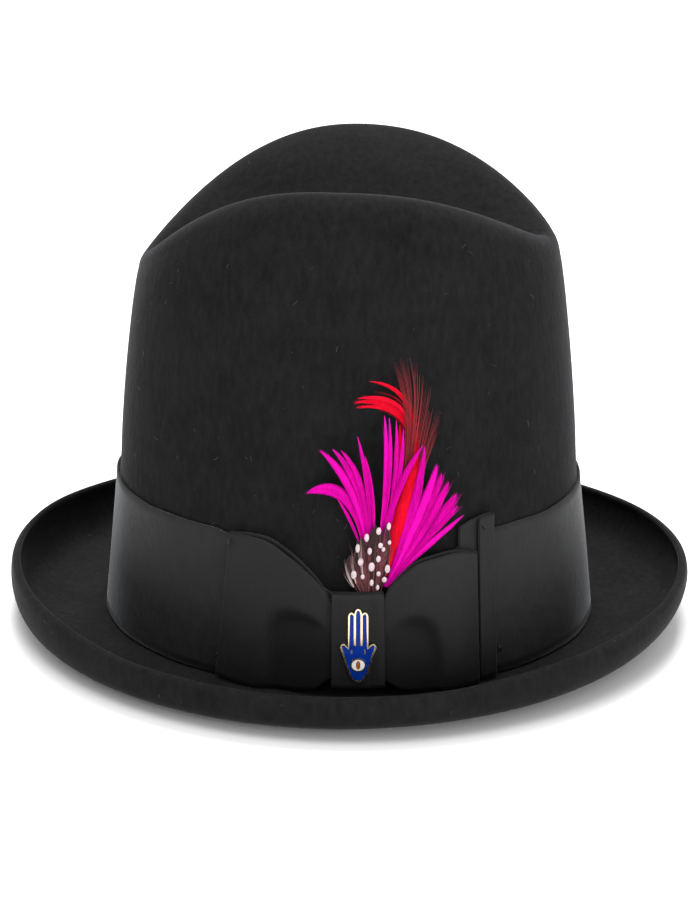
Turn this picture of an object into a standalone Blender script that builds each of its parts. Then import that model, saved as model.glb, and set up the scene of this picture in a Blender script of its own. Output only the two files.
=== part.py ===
"""Felt trilby with a ribbon band, bow, feather plume and pin. Metres, +Z up, front at -X, bow side at -Y."""

import math
from collections import namedtuple

import bmesh
import bpy
from mathutils import Matrix, Vector

# Felt body
FELT = 0.0022  # thickness of the felt
HEAD_LENGTH = 0.196  # inside the crown at its foot, front to back
HEAD_WIDTH = 0.163  # inside the crown at its foot, side to side
BRIM_REACH = 0.0436  # from the foot of the crown out to the rim, at the front and back
BRIM_REACH_SIDE = 0.0457  # the same at the sides
BRIM_SET = 0.28  # how much sooner the brim rises at the back than at the front
RIM_SQUARING = 0.04  # how much less full than an ellipse the rim's outline is
RIM_HEIGHT_SIDE = 0.0181
RIM_HEIGHT_END = 0.0265
AROUND = 64  # columns round the oval

# Crown heights, to the inside of the felt
BAND_TOP = 0.0626
RIDGE_MIDDLE = 0.1914
RIDGE_FRONT = 0.1520
RIDGE_BACK = 0.1621
RIDGE_FALL = 2.65  # how late the ridges fall toward their ends
DENT_FLOOR = 0.1580  # the centre dent's floor at mid length

# Ribbon
RIBBON = 0.0010  # thickness of the bow's ribbon
BAND = 0.0010  # thickness of the band
GAP = 0.0003  # clearance between neighbouring pieces
BAND_FOOT = 0.0032
KNOT_AT = 0.0122  # the knot's middle, measured along the band from the side's middle
KNOT_WIDTH = 0.0190
KNOT_TOP = 0.0449
KNOT_FOOT = 0.0067
KNOT_BACK = 0.00505  # the wrap's back layer, out from the felt
KNOT_FRONT = 0.00905  # the wrap's front layer, out from the felt
KNOT_CORNER = 0.0014
KNOT_CORNER_STEPS = 3
KNOT_COLUMNS = 5
KNOT_CROWN = 0.0003  # how much the wrap's face bulges at its middle
FOLD_STEPS = 4  # facets round a ribbon's fold

# The dent beside the knot in each loop, as shares of the loop's length, height and depth
PINCH = 0.60
MOST_PINCH = 0.90  # share of the room behind the front layer that it may sink into
PINCH_TOWARD = 0.42
PINCH_LENGTH = 0.20
PINCH_UP = 0.36
PINCH_HEIGHT = 0.24
EDGE_CURL = 0.35  # how far the loop's long edges turn back
LEFT_SLANT = 0.0035  # how far each fold's top leans along the band
RIGHT_SLANT = 0.0012
END_SLANT = 0.0020

# Feathers
STRIP = 0.0006  # thickness of a feather strip
QUILL_FOOT = 0.0240
LEAN_FROM = 0.0470  # height at which the strips begin to leave the felt
LEAN_OVER = 0.0750
RED_LAYER = 0.00190
PINK_LAYER = 0.00303
GUINEA_LAYER = 0.00400

# Pin
PIN_HEIGHT = 0.0300
PIN_FOOT = 0.0103  # height of its lowest point
PIN_PLATE = 0.0006
PIN_RAISED = 0.0007
PIN_LINE = 0.0005  # width of the raised lines
PIN_CLEAR = 0.00018  # clearance round each enamel filling
POST_RADIUS = 0.00045
POST_LENGTH = 0.0030
POST_ROOT = 0.6  # how deep in the plate the post begins, as a share of its thickness
SHARPEST_CORNER = 0.55  # least cosine that an inset corner is carried out by

BrimRow = namedtuple("BrimRow", "reach lift follows")
CrownRow = namedtuple("CrownRow", "rise length width roundness")
TopRow = namedtuple("TopRow", "length width")
EdgeRow = namedtuple("EdgeRow", "along top foot")
LayerRow = namedtuple("LayerRow", "along out")
StripRow = namedtuple(
    "StripRow",
    "start_along start_up bend_along bend_up tip_along tip_up width widest layer lean",
)
StemRow = namedtuple("StemRow", "along_low along_high top half_low half_high")
OutlineRow = namedtuple("OutlineRow", "across up")

# Brim, from its rolled edge in to the foot of the crown: shares of the reach and of the rim's height,
# and whether the row follows the rim's rise round the hat
BRIM_ROWS = [
    BrimRow(0.945, 1.00, 1.0),
    BrimRow(0.975, 0.97, 1.0),
    BrimRow(1.000, 0.82, 1.0),
    BrimRow(0.990, 0.58, 1.0),
    BrimRow(0.940, 0.35, 1.0),
    BrimRow(0.840, 0.16, 1.0),
    BrimRow(0.680, 0.06, 1.0),
    BrimRow(0.300, 0.00, 1.0),
    BrimRow(0.095, 0.00, 0.0),
    BrimRow(0.025, 0.035, 0.0),
]

# Crown, from its foot up to the ridges: share of the way from the band's top to the ridge,
# shares of the head's length and width, and the oval's exponent
CROWN_ROWS = [
    CrownRow(0.00, 0.942, 0.941, 2.00),
    CrownRow(0.22, 0.927, 0.930, 2.00),
    CrownRow(0.45, 0.907, 0.908, 2.00),
    CrownRow(0.66, 0.884, 0.872, 1.98),
    CrownRow(0.83, 0.862, 0.828, 1.93),
    CrownRow(0.93, 0.845, 0.785, 1.87),
    CrownRow(0.98, 0.831, 0.741, 1.81),
    CrownRow(1.00, 0.806, 0.693, 1.75),
]

# Rings inside the ridges, as shares of the ridge ring
TOP_ROWS = [
    TopRow(0.965, 0.84),
    TopRow(0.925, 0.64),
    TopRow(0.885, 0.43),
    TopRow(0.850, 0.20),
]

# The band's top and foot edges: level all round, lower where the bow covers it
BAND_ROWS = [
    EdgeRow(-0.0480, 0.0626, 0.0032),
    EdgeRow(-0.0300, 0.0600, 0.0032),
    EdgeRow(-0.0150, 0.0530, 0.0032),
    EdgeRow(0.0020, 0.0420, 0.0032),
    EdgeRow(0.0240, 0.0400, 0.0032),
    EdgeRow(0.0330, 0.0520, 0.0032),
    EdgeRow(0.0500, 0.0560, 0.0032),
    EdgeRow(0.0620, 0.0626, 0.0032),
]

# Edges of the bow's loops, along the band from the side's middle
LEFT_EDGES = [
    EdgeRow(-0.0422, 0.0632, 0.0042),
    EdgeRow(-0.0340, 0.0638, 0.0036),
    EdgeRow(-0.0245, 0.0625, 0.0034),
    EdgeRow(-0.0164, 0.0585, 0.0036),
    EdgeRow(-0.0085, 0.0532, 0.0042),
    EdgeRow(-0.0022, 0.0472, 0.0060),
    EdgeRow(0.0010, 0.0422, 0.0092),
    EdgeRow(0.0030, 0.0414, 0.0098),
    EdgeRow(0.0110, 0.0408, 0.0102),
]
RIGHT_EDGES = [
    EdgeRow(0.0150, 0.0408, 0.0102),
    EdgeRow(0.0230, 0.0414, 0.0098),
    EdgeRow(0.0246, 0.0422, 0.0092),
    EdgeRow(0.0280, 0.0505, 0.0050),
    EdgeRow(0.0332, 0.0551, 0.0038),
    EdgeRow(0.0415, 0.0572, 0.0034),
    EdgeRow(0.0520, 0.0577, 0.0034),
    EdgeRow(0.0572, 0.0562, 0.0034),
]

# How far each layer of a loop stands out from the felt
LEFT_FRONT = [
    LayerRow(-0.0422, 0.0038),
    LayerRow(-0.0340, 0.0056),
    LayerRow(-0.0200, 0.0076),
    LayerRow(-0.0070, 0.0084),
    LayerRow(0.0010, 0.0077),
    LayerRow(0.0110, 0.0077),
]
LEFT_BACK = [
    LayerRow(-0.0422, 0.0023),
    LayerRow(-0.0180, 0.0024),
    LayerRow(-0.0070, 0.0044),
    LayerRow(0.0010, 0.00635),
    LayerRow(0.0110, 0.00635),
]
RIGHT_FRONT = [
    LayerRow(0.0150, 0.0077),
    LayerRow(0.0246, 0.0077),
    LayerRow(0.0330, 0.0084),
    LayerRow(0.0430, 0.0078),
    LayerRow(0.0540, 0.0062),
    LayerRow(0.0572, 0.0052),
]
RIGHT_BACK = [
    LayerRow(0.0150, 0.00635),
    LayerRow(0.0246, 0.00635),
    LayerRow(0.0332, 0.0048),
    LayerRow(0.0430, 0.0037),
    LayerRow(0.0572, 0.0037),
]

# The folded end beside the right loop: a back layer that shows above the loop, and a narrow fold in front
END_BACK = [
    EdgeRow(0.0512, 0.0665, 0.0036),
    EdgeRow(0.0560, 0.0685, 0.0036),
    EdgeRow(0.0620, 0.0700, 0.0036),
    EdgeRow(0.0652, 0.0700, 0.0036),
]
END_FOLD_FROM = 0.0596
END_OUT_BACK = 0.00215
END_OUT_FRONT = 0.0045
END_SPRING = 0.0008  # how far the fold's free edge springs out
END_STEPS = 4
END_FRONT_STEPS = 2
END_ACROSS = 6

# Feather strips: start, bend and tip, along the band and up, width and where it is widest,
# layer step and outward lean
PINK_STRIPS = [
    StripRow(0.0155, 0.0560, 0.0115, 0.0930, -0.0075, 0.0836, 0.0066, 0.66, 0.00005, 0.0060),
    StripRow(0.0160, 0.0560, 0.0135, 0.0890, -0.0019, 0.1021, 0.0042, 0.62, 0.00000, 0.0070),
    StripRow(0.0166, 0.0560, 0.0157, 0.0900, 0.0045, 0.1024, 0.0044, 0.60, 0.00005, 0.0075),
    StripRow(0.0176, 0.0560, 0.0177, 0.0880, 0.0122, 0.1082, 0.0028, 0.52, 0.00000, 0.0080),
    StripRow(0.0190, 0.0540, 0.0256, 0.0880, 0.0226, 0.1164, 0.0034, 0.62, 0.00005, 0.0075),
    StripRow(0.0202, 0.0540, 0.0290, 0.0860, 0.0284, 0.1120, 0.0034, 0.62, 0.00000, 0.0075),
    StripRow(0.0206, 0.0500, 0.0222, 0.0820, 0.0370, 0.1034, 0.0040, 0.62, 0.00005, 0.0070),
    StripRow(0.0204, 0.0430, 0.0332, 0.0720, 0.0380, 0.1014, 0.0056, 0.60, 0.00000, 0.0065),
    StripRow(0.0205, 0.0430, 0.0350, 0.0696, 0.0426, 0.0946, 0.0054, 0.66, 0.00005, 0.0070),
    StripRow(0.0206, 0.0430, 0.0363, 0.0660, 0.0466, 0.0880, 0.0062, 0.70, 0.00000, 0.0068),
    StripRow(0.0207, 0.0430, 0.0370, 0.0625, 0.0512, 0.0811, 0.0060, 0.74, 0.00005, 0.0065),
    StripRow(0.0208, 0.0430, 0.0350, 0.0600, 0.0528, 0.0742, 0.0048, 0.70, 0.00000, 0.0060),
]
RED_STRIPS = [
    StripRow(0.0220, 0.0500, 0.0246, 0.0800, 0.0356, 0.0976, 0.0096, 0.58, 0.00000, 0.0020),
    StripRow(0.0240, 0.0540, 0.0304, 0.0840, 0.0288, 0.1107, 0.0040, 0.62, 0.00000, 0.0030),
    StripRow(0.0250, 0.0560, 0.0480, 0.1240, 0.0116, 0.1196, 0.0044, 0.66, -0.00005, 0.0030),
    StripRow(0.0260, 0.0560, 0.0470, 0.1250, 0.0175, 0.1279, 0.0030, 0.60, 0.00000, 0.0035),
    StripRow(0.0285, 0.0840, 0.0356, 0.1160, 0.0262, 0.1366, 0.0024, 0.40, -0.00005, 0.0040),
    StripRow(0.0300, 0.0840, 0.0366, 0.1160, 0.0320, 0.1362, 0.0024, 0.40, 0.00000, 0.0040),
    StripRow(0.0310, 0.0840, 0.0376, 0.1074, 0.0390, 0.1262, 0.0022, 0.40, -0.00005, 0.0035),
    StripRow(0.0320, 0.0800, 0.0395, 0.1012, 0.0445, 0.1135, 0.0024, 0.40, 0.00000, 0.0040),
]
GUINEA_STRIPS = [
    StripRow(0.0140, 0.0440, 0.0104, 0.0520, 0.0092, 0.0590, 0.0080, 0.50, 0.00005, 0.0090),
    StripRow(0.0156, 0.0440, 0.0140, 0.0560, 0.0136, 0.0665, 0.0086, 0.52, -0.00005, 0.0090),
    StripRow(0.0176, 0.0440, 0.0180, 0.0580, 0.0190, 0.0720, 0.0086, 0.52, 0.00005, 0.0090),
    StripRow(0.0194, 0.0440, 0.0214, 0.0560, 0.0236, 0.0725, 0.0074, 0.52, -0.00005, 0.0090),
]
# Each bunch's bound quills: along the band at the foot and top, height of the top, half widths
PINK_STEM = StemRow(0.0140, 0.0195, 0.0640, 0.0030, 0.0065)
RED_STEM = StemRow(0.0140, 0.0225, 0.0640, 0.0030, 0.0045)
GUINEA_STEM = StemRow(0.0140, 0.0160, 0.0500, 0.0030, 0.0070)
STRIP_ROWS = 7  # stations along a strip
STRIP_TIP = 0.0005  # half width at a strip's tip
STRIP_WEDGE = 0.35  # how much thinner a strip is at its tip
STRIP_FULLNESS = 0.8  # under 1 for a strip fuller than a half wave
STRIP_ROOT = 0.22  # width at the root as a share of the widest
STEM_ROWS = 4
STEM_SHARE = 0.85  # the quills' thickness against a strip's

# The pin's outline, right half from the foot up to the middle finger's tip, in shares of its height
PIN_OUTLINE = [
    OutlineRow(0.000, 0.000),
    OutlineRow(0.045, 0.010),
    OutlineRow(0.085, 0.050),
    OutlineRow(0.130, 0.140),
    OutlineRow(0.165, 0.250),
    OutlineRow(0.190, 0.350),
    OutlineRow(0.222, 0.440),
    OutlineRow(0.232, 0.485),
    OutlineRow(0.215, 0.520),
    OutlineRow(0.185, 0.528),
    OutlineRow(0.155, 0.505),
    OutlineRow(0.130, 0.480),
    OutlineRow(0.128, 0.900),
    OutlineRow(0.113, 0.938),
    OutlineRow(0.086, 0.952),
    OutlineRow(0.062, 0.940),
    OutlineRow(0.046, 0.918),
    OutlineRow(0.043, 0.955),
    OutlineRow(0.026, 0.988),
    OutlineRow(0.000, 1.000),
]
EYE_UP = 0.235  # the eye's middle, as a share of the pin's height
EYE_WIDTH = 0.0054
EYE_HEIGHT = 0.0048
PUPIL_WIDTH = 0.0017
PUPIL_HEIGHT = 0.0036
EYE_RING = 0.0003  # width of the raised ring round the eye
EYE_SIDES = 24
# Raised lines, as shares of the pin's height
FINGER_LINE = 0.043
FINGER_FOOT = 0.50
FINGER_TOP = 0.93
SLIT_ACROSS = 0.085
SLIT_FOOT = 0.385
SLIT_TOP = 0.44
SLIT_SHARE = 0.8  # a slit's width against a finger line's
POST_UP = 0.42
POST_SIDES = 12
PIN_STEP = 0.00002  # how far each kind of raised line stops short of the one before
ENAMEL_BELOW = 0.00015  # how far the enamel stops short of the rim
CUTTER_ROOM = 0.001


def clear_scene():
    for item in list(bpy.data.objects):
        bpy.data.objects.remove(item, do_unlink=True)
    for group in list(bpy.data.collections):
        bpy.data.collections.remove(group)


def make_collection(name):
    group = bpy.data.collections.new(name)
    bpy.context.scene.collection.children.link(group)
    return group


def material(name, colour, roughness, metallic=0.0):
    made = bpy.data.materials.new(name)
    made.use_nodes = True
    shader = made.node_tree.nodes["Principled BSDF"]
    shader.inputs["Base Color"].default_value = (*colour, 1.0)
    shader.inputs["Roughness"].default_value = roughness
    shader.inputs["Metallic"].default_value = metallic
    made.diffuse_color = (*colour, 1.0)
    return made


def object_from(name, points, faces, group, look=None, smooth_below=50.0):
    mesh = bpy.data.meshes.new(name)
    mesh.from_pydata([tuple(p) for p in points], [], faces)
    mesh.validate()
    work = bmesh.new()
    work.from_mesh(mesh)
    bmesh.ops.recalc_face_normals(work, faces=work.faces)
    work.to_mesh(mesh)
    work.free()
    mesh.shade_smooth()
    mesh.set_sharp_from_angle(angle=math.radians(smooth_below))
    made = bpy.data.objects.new(name, mesh)
    group.objects.link(made)
    if look:
        mesh.materials.append(look)
    return made


def solidify(item, thickness, offset):
    shell = item.modifiers.new("thickness", "SOLIDIFY")
    shell.thickness = thickness
    shell.offset = offset
    shell.use_even_offset = True
    return shell


def between(rows, at, key, value):
    """The value at a place between the rows of a table, straight from row to row."""
    first = rows[0]
    if at <= getattr(first, key):
        return getattr(first, value)
    for low, high in zip(rows, rows[1:]):
        start = getattr(low, key)
        end = getattr(high, key)
        if at <= end:
            share = (at - start) / (end - start)
            return getattr(low, value) * (1.0 - share) + getattr(high, value) * share
    return getattr(rows[-1], value)


def signed_power(value, power):
    return math.copysign(abs(value) ** power, value)


def oval(half_length, half_width, angle, roundness=2.0):
    """A point on an oval; the angle runs from the side's middle (-Y) toward the back (+X)."""
    power = 2.0 / roundness
    x = half_length * signed_power(math.sin(angle), power)
    y = -half_width * signed_power(math.cos(angle), power)
    return x, y


def ridge_height(angle):
    """Height of the ridge over each column: highest at the sides, lower at the front and back ends."""
    toward = math.sin(angle)
    end = RIDGE_BACK if toward > 0.0 else RIDGE_FRONT
    return RIDGE_MIDDLE - (RIDGE_MIDDLE - end) * abs(toward) ** RIDGE_FALL


def crown_ring(angle, rise):
    """A point of the crown's inside above the band's top, by the share of the way up to the ridge."""
    length = between(CROWN_ROWS, rise, "rise", "length") * HEAD_LENGTH / 2.0
    width = between(CROWN_ROWS, rise, "rise", "width") * HEAD_WIDTH / 2.0
    roundness = between(CROWN_ROWS, rise, "rise", "roundness")
    x, y = oval(length, width, angle, roundness)
    return Vector((x, y, BAND_TOP + rise * (ridge_height(angle) - BAND_TOP)))


def crown_foot(angle, height):
    """A point of the crown's inside below the band's top, straight from the foot to the band's top."""
    foot = BRIM_ROWS[-1]
    low = foot.lift * RIM_HEIGHT_SIDE
    share = (height - low) / (BAND_TOP - low)
    low_length = HEAD_LENGTH / 2.0 + foot.reach * BRIM_REACH
    low_width = HEAD_WIDTH / 2.0 + foot.reach * BRIM_REACH_SIDE
    top_length = CROWN_ROWS[0].length * HEAD_LENGTH / 2.0
    top_width = CROWN_ROWS[0].width * HEAD_WIDTH / 2.0
    length = low_length + share * (top_length - low_length)
    width = low_width + share * (top_width - low_width)
    x, y = oval(length, width, angle)
    return Vector((x, y, height))


def wall_point(angle, height):
    if height <= BAND_TOP:
        return crown_foot(angle, height)
    rise = (height - BAND_TOP) / (ridge_height(angle) - BAND_TOP)
    return crown_ring(angle, rise)


def wall_out(angle, height, out):
    """A point that stands out from the felt's outer face by a level distance."""
    step = 0.01
    here = wall_point(angle, height)
    along = wall_point(angle + step, height) - wall_point(angle - step, height)
    outward = Vector((along.y, -along.x, 0.0)).normalized()
    return here + outward * (FELT + out)


def angle_table():
    """Lengths along the band from the side's middle, against the oval's angle."""
    rows = []
    length = 0.0
    level = (BAND_FOOT + BAND_TOP) / 2.0
    last = wall_out(0.0, level, BAND)
    for step in range(1, 181):
        angle = math.pi * step / 180.0
        here = wall_out(angle, level, BAND)
        length += (here - last).length
        rows.append((angle, length))
        last = here
    return rows


ANGLES = angle_table()


def angle_at(along):
    """The oval's angle at a length along the band."""
    wanted = abs(along)
    last = (0.0, 0.0)
    for row in ANGLES:
        if wanted <= row[1]:
            share = (wanted - last[1]) / (row[1] - last[1])
            angle = last[0] + share * (row[0] - last[0])
            return math.copysign(angle, along)
        last = row
    return math.copysign(ANGLES[-1][0], along)


def along_at(angle):
    """The length along the band at an angle of the oval."""
    wanted = abs(angle)
    last = (0.0, 0.0)
    for row in ANGLES:
        if wanted <= row[0]:
            share = (wanted - last[0]) / (row[0] - last[0])
            return math.copysign(last[1] + share * (row[1] - last[1]), angle)
        last = row
    return math.copysign(ANGLES[-1][1], angle)


def on_wall(along, height, out):
    return wall_out(angle_at(along), height, out)


def dent_height(x, y):
    """The crown's top inside the ridges: a rounded valley, level with them at its ends."""
    half_length = CROWN_ROWS[-1].length * HEAD_LENGTH / 2.0
    half_width = CROWN_ROWS[-1].width * HEAD_WIDTH / 2.0
    roundness = CROWN_ROWS[-1].roundness
    toward = max(-1.0, min(1.0, x / half_length))
    edge = half_width * (1.0 - abs(toward) ** roundness) ** (1.0 / roundness)
    share = min(1.0, abs(y) / max(edge, 1e-5))
    sine = signed_power(toward, roundness / 2.0)
    ridge = ridge_height(math.asin(max(-1.0, min(1.0, sine))))
    end = RIDGE_BACK if toward > 0.0 else RIDGE_FRONT
    floor = DENT_FLOOR + (end - DENT_FLOOR) * abs(toward) ** 2.0
    climb = 0.5 - 0.5 * math.cos(math.pi * share)
    return floor + (ridge - floor) * climb


def felt_body(group, look):
    """Crown and brim in one: rings from the rolled edge in to the foot, up the crown and into the dent."""
    angles = [math.tau * (step + 0.5) / AROUND - math.pi / 2.0 for step in range(AROUND)]
    rings = []
    for row in BRIM_ROWS:
        ring = []
        for angle in angles:
            rise = (RIM_HEIGHT_END - RIM_HEIGHT_SIDE) * math.sin(angle) ** 2
            rim = RIM_HEIGHT_SIDE + row.follows * rise
            length = HEAD_LENGTH / 2.0 + row.reach * BRIM_REACH
            width = HEAD_WIDTH / 2.0 + row.reach * BRIM_REACH_SIDE
            x, y = oval(length, width, angle, 2.0 - RIM_SQUARING * row.reach)
            lift = row.lift ** (1.0 - row.follows * BRIM_SET * math.sin(angle))
            ring.append(Vector((x, y, lift * rim)))
        rings.append(ring)
    for row in CROWN_ROWS:
        rings.append([crown_ring(angle, row.rise) for angle in angles])
    ridge = rings[-1]
    for row in TOP_ROWS:
        ring = []
        for edge in ridge:
            x = edge.x * row.length
            y = edge.y * row.width
            ring.append(Vector((x, y, dent_height(x, y))))
        rings.append(ring)
    points = [point for ring in rings for point in ring]
    faces = []
    for level in range(len(rings) - 1):
        for step in range(AROUND):
            low = level * AROUND
            high = low + AROUND
            after = (step + 1) % AROUND
            faces.append((low + step, low + after, high + after, high + step))
    last = (len(rings) - 1) * AROUND
    half = AROUND // 2
    for step in range(half - 1):
        near = last + step
        far = last + AROUND - 1 - step
        faces.append((near, near + 1, far - 1, far))
    made = object_from("felt_body", points, faces, group, look, 60.0)
    face_outward(made, Vector((0.0, 0.0, 0.11)))
    solidify(made, FELT, 1.0)
    return made


def face_outward(item, inside):
    """Turns an open sheet's faces so that they look away from a point inside."""
    mesh = item.data
    total = sum((face.center - inside).dot(face.normal) * face.area for face in mesh.polygons)
    if total < 0.0:
        mesh.flip_normals()


def hat_band(group, look):
    """A ring of ribbon standing a clearance off the felt, its top edge lower behind the bow."""
    angles = [math.tau * (step + 0.5) / AROUND - math.pi for step in range(AROUND)]
    points = []
    for angle in angles:
        along = along_at(angle)
        points.append(wall_out(angle, between(BAND_ROWS, along, "along", "foot"), GAP))
    for angle in angles:
        along = along_at(angle)
        points.append(wall_out(angle, between(BAND_ROWS, along, "along", "top"), GAP))
    faces = []
    for step in range(AROUND):
        after = (step + 1) % AROUND
        faces.append((step, after, AROUND + after, AROUND + step))
    made = object_from("hat_band", points, faces, group, look, 60.0)
    face_outward(made, Vector((0.0, 0.0, 0.03)))
    solidify(made, BAND, 1.0)
    return made


def sheet(name, grid, thickness, group, look, closed=False):
    """A sheet through a grid of points, given equal thickness on both sides."""
    rows = len(grid)
    columns = len(grid[0])
    points = [point for row in grid for point in row]
    faces = []
    for row in range(rows if closed else rows - 1):
        after = (row + 1) % rows
        for column in range(columns - 1):
            low = row * columns + column
            high = after * columns + column
            faces.append((low, low + 1, high + 1, high))
    made = object_from(name, points, faces, group, look, 60.0)
    solidify(made, thickness, 0.0)
    return made


def loop_grid(edges, front, back, fold_at, waist_at, slant, across=7):
    """A ribbon folded over on itself: front layer out to the fold, round it, and back in to the waist."""
    stations = sorted((row.along for row in edges), key=lambda along: abs(along - waist_at))
    path = [(along, between(front, along, "along", "out"), True) for along in stations]
    end_front = between(front, fold_at, "along", "out")
    end_back = between(back, fold_at, "along", "out")
    middle = (end_front + end_back) / 2.0
    radius = (end_front - end_back) / 2.0
    side = math.copysign(1.0, fold_at - waist_at)
    for step in range(1, FOLD_STEPS):
        turn = math.pi * step / FOLD_STEPS
        path.append((fold_at + side * radius * math.sin(turn), middle + radius * math.cos(turn), False))
    for along in reversed(stations):
        path.append((along, between(back, along, "along", "out"), False))
    grid = []
    for along, out, is_front in path:
        top = between(edges, along, "along", "top")
        foot = between(edges, along, "along", "foot")
        room = max(0.0, out - between(back, along, "along", "out") - RIBBON - GAP)
        toward = (along - waist_at) / (fold_at - waist_at)
        row = []
        for column in range(across):
            share = column / (across - 1)
            stand = out
            if is_front:
                curl = EDGE_CURL * abs(2.0 * share - 1.0) ** 3
                away = (toward - PINCH_TOWARD) / PINCH_LENGTH
                above = (share - PINCH_UP) / PINCH_HEIGHT
                pinch = PINCH * math.exp(-away * away - above * above)
                stand = out - room * min(MOST_PINCH, curl + pinch)
            row.append(on_wall(along + slant * toward * share, foot + share * (top - foot), stand))
        grid.append(row)
    return grid


def bow_loop(name, edges, front, back, fold_at, waist_at, slant, group, look):
    return sheet(name, loop_grid(edges, front, back, fold_at, waist_at, slant), RIBBON, group, look)


def knot_path():
    """The wrap's section as (out, height): a flat ring with rounded corners."""
    top = KNOT_TOP - RIBBON / 2.0 - KNOT_CORNER
    foot = KNOT_FOOT + RIBBON / 2.0 + KNOT_CORNER
    front = KNOT_FRONT - KNOT_CORNER
    back = KNOT_BACK + KNOT_CORNER
    path = []
    for number, (out, height) in enumerate(((front, top), (back, top), (back, foot), (front, foot))):
        for step in range(KNOT_CORNER_STEPS + 1):
            turn = math.pi / 2.0 * (number + step / KNOT_CORNER_STEPS)
            path.append((out + KNOT_CORNER * math.cos(turn), height + KNOT_CORNER * math.sin(turn)))
    return path


def bow_knot(group, look, cutters):
    """A wrap of ribbon round the bow's waist, its face a little crowned, holed for the pin's post."""
    grid = []
    for out, height in knot_path():
        row = []
        for column in range(KNOT_COLUMNS):
            share = 2.0 * column / (KNOT_COLUMNS - 1) - 1.0
            is_face = out > (KNOT_FRONT + KNOT_BACK) / 2.0
            stand = out + (KNOT_CROWN * (1.0 - share * share) if is_face else 0.0)
            row.append(on_wall(KNOT_AT + share * KNOT_WIDTH / 2.0, height, stand))
        grid.append(row)
    made = sheet("bow_knot", grid, RIBBON, group, look, closed=True)
    radius = POST_RADIUS + GAP
    hole_outline = round_outline(radius, radius, POST_SIDES, 0.0, POST_UP * PIN_HEIGHT)
    hole = prism("post_hole", hole_outline, -2.0 * RIBBON, 2.0 * RIBBON, cutters)
    hole.matrix_world = pin_frame()
    as_guide(hole)
    subtract(made, hole)
    return made


def ribbon_end(group, look):
    """The folded end: a layer against the band, turned over at its edge into a narrow front fold."""
    grid = []
    first = END_BACK[0].along
    last = END_BACK[-1].along
    middle = (END_OUT_FRONT + END_OUT_BACK) / 2.0
    radius = (END_OUT_FRONT - END_OUT_BACK) / 2.0
    path = []
    for step in range(END_STEPS + 1):
        path.append((first + (last - first) * step / END_STEPS, END_OUT_BACK))
    for step in range(1, FOLD_STEPS):
        turn = math.pi * step / FOLD_STEPS
        path.append((last + radius * math.sin(turn), middle - radius * math.cos(turn)))
    for step in range(END_FRONT_STEPS + 1):
        share = step / END_FRONT_STEPS
        path.append((last + (END_FOLD_FROM - last) * share, END_OUT_FRONT + END_SPRING * share))
    for along, out in path:
        top = between(END_BACK, along, "along", "top")
        foot = between(END_BACK, along, "along", "foot")
        row = []
        for step in range(END_ACROSS):
            share = step / (END_ACROSS - 1)
            row.append(on_wall(along + END_SLANT * share, foot + share * (top - foot), out))
        grid.append(row)
    return sheet("ribbon_end", grid, RIBBON, group, look)


def feather_lean(height, lean):
    """How far a strip has left the felt at a height: nothing at its foot, most at its tip."""
    rise = max(0.0, (height - LEAN_FROM) / LEAN_OVER)
    return lean * rise ** 1.5


def curve_at(start, bend, tip, share):
    """A place and a slope on a curve that leaves its start toward the bend and comes from it to the tip."""
    place = start * (1.0 - share) ** 2 + bend * 2.0 * share * (1.0 - share) + tip * share**2
    slope = 2.0 * (1.0 - share) * (bend - start) + 2.0 * share * (tip - bend)
    return place, slope


def strip_mesh(name, row, layer, group):
    """One trimmed strip: a flat pointed blade of lens section, curved sideways and leaning out."""
    points = []
    for step in range(STRIP_ROWS):
        share = step / (STRIP_ROWS - 1)
        along, slope_along = curve_at(row.start_along, row.bend_along, row.tip_along, share)
        height, slope_up = curve_at(row.start_up, row.bend_up, row.tip_up, share)
        length = math.hypot(slope_along, slope_up)
        across_along = slope_up / length
        across_up = -slope_along / length
        swell = math.sin(math.pi * share ** (math.log(0.5) / math.log(row.widest))) ** STRIP_FULLNESS
        half = max(STRIP_TIP, row.width / 2.0 * max(swell, STRIP_ROOT * (1.0 - share)))
        thick = STRIP / 2.0 * (1.0 - STRIP_WEDGE * share)
        out = layer + row.layer + feather_lean(height, row.lean)
        left = on_wall(along - half * across_along, height - half * across_up, out)
        right = on_wall(along + half * across_along, height + half * across_up, out)
        middle_front = on_wall(along, height, out + thick)
        middle_back = on_wall(along, height, out - thick)
        points.extend((left, middle_front, right, middle_back))
    return object_from(name, points, four_sided(STRIP_ROWS), group)


def four_sided(rows):
    """Faces of a four-sided bar with closed ends, through rows of four points."""
    faces = []
    for step in range(rows - 1):
        low = step * 4
        for side in range(4):
            after = (side + 1) % 4
            faces.append((low + side, low + after, low + 4 + after, low + 4 + side))
    faces.append((0, 1, 2, 3))
    end = (rows - 1) * 4
    faces.append((end + 3, end + 2, end + 1, end))
    return faces


def quill(name, stem, layer, group):
    """The bound quills: a flat tapered stem behind the knot that all strips of a bunch grow from."""
    points = []
    thick = STRIP / 2.0 * STEM_SHARE
    for step in range(STEM_ROWS):
        share = step / (STEM_ROWS - 1)
        along = stem.along_low + share * (stem.along_high - stem.along_low)
        half = stem.half_low + share * (stem.half_high - stem.half_low)
        height = QUILL_FOOT + share * (stem.top - QUILL_FOOT)
        points.append(on_wall(along - half, height, layer - thick))
        points.append(on_wall(along + half, height, layer - thick))
        points.append(on_wall(along + half, height, layer + thick))
        points.append(on_wall(along - half, height, layer + thick))
    return object_from(name, points, four_sided(STEM_ROWS), group)


def evaluated_mesh(item):
    return bpy.data.meshes.new_from_object(item.evaluated_get(bpy.context.evaluated_depsgraph_get()))


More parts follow.
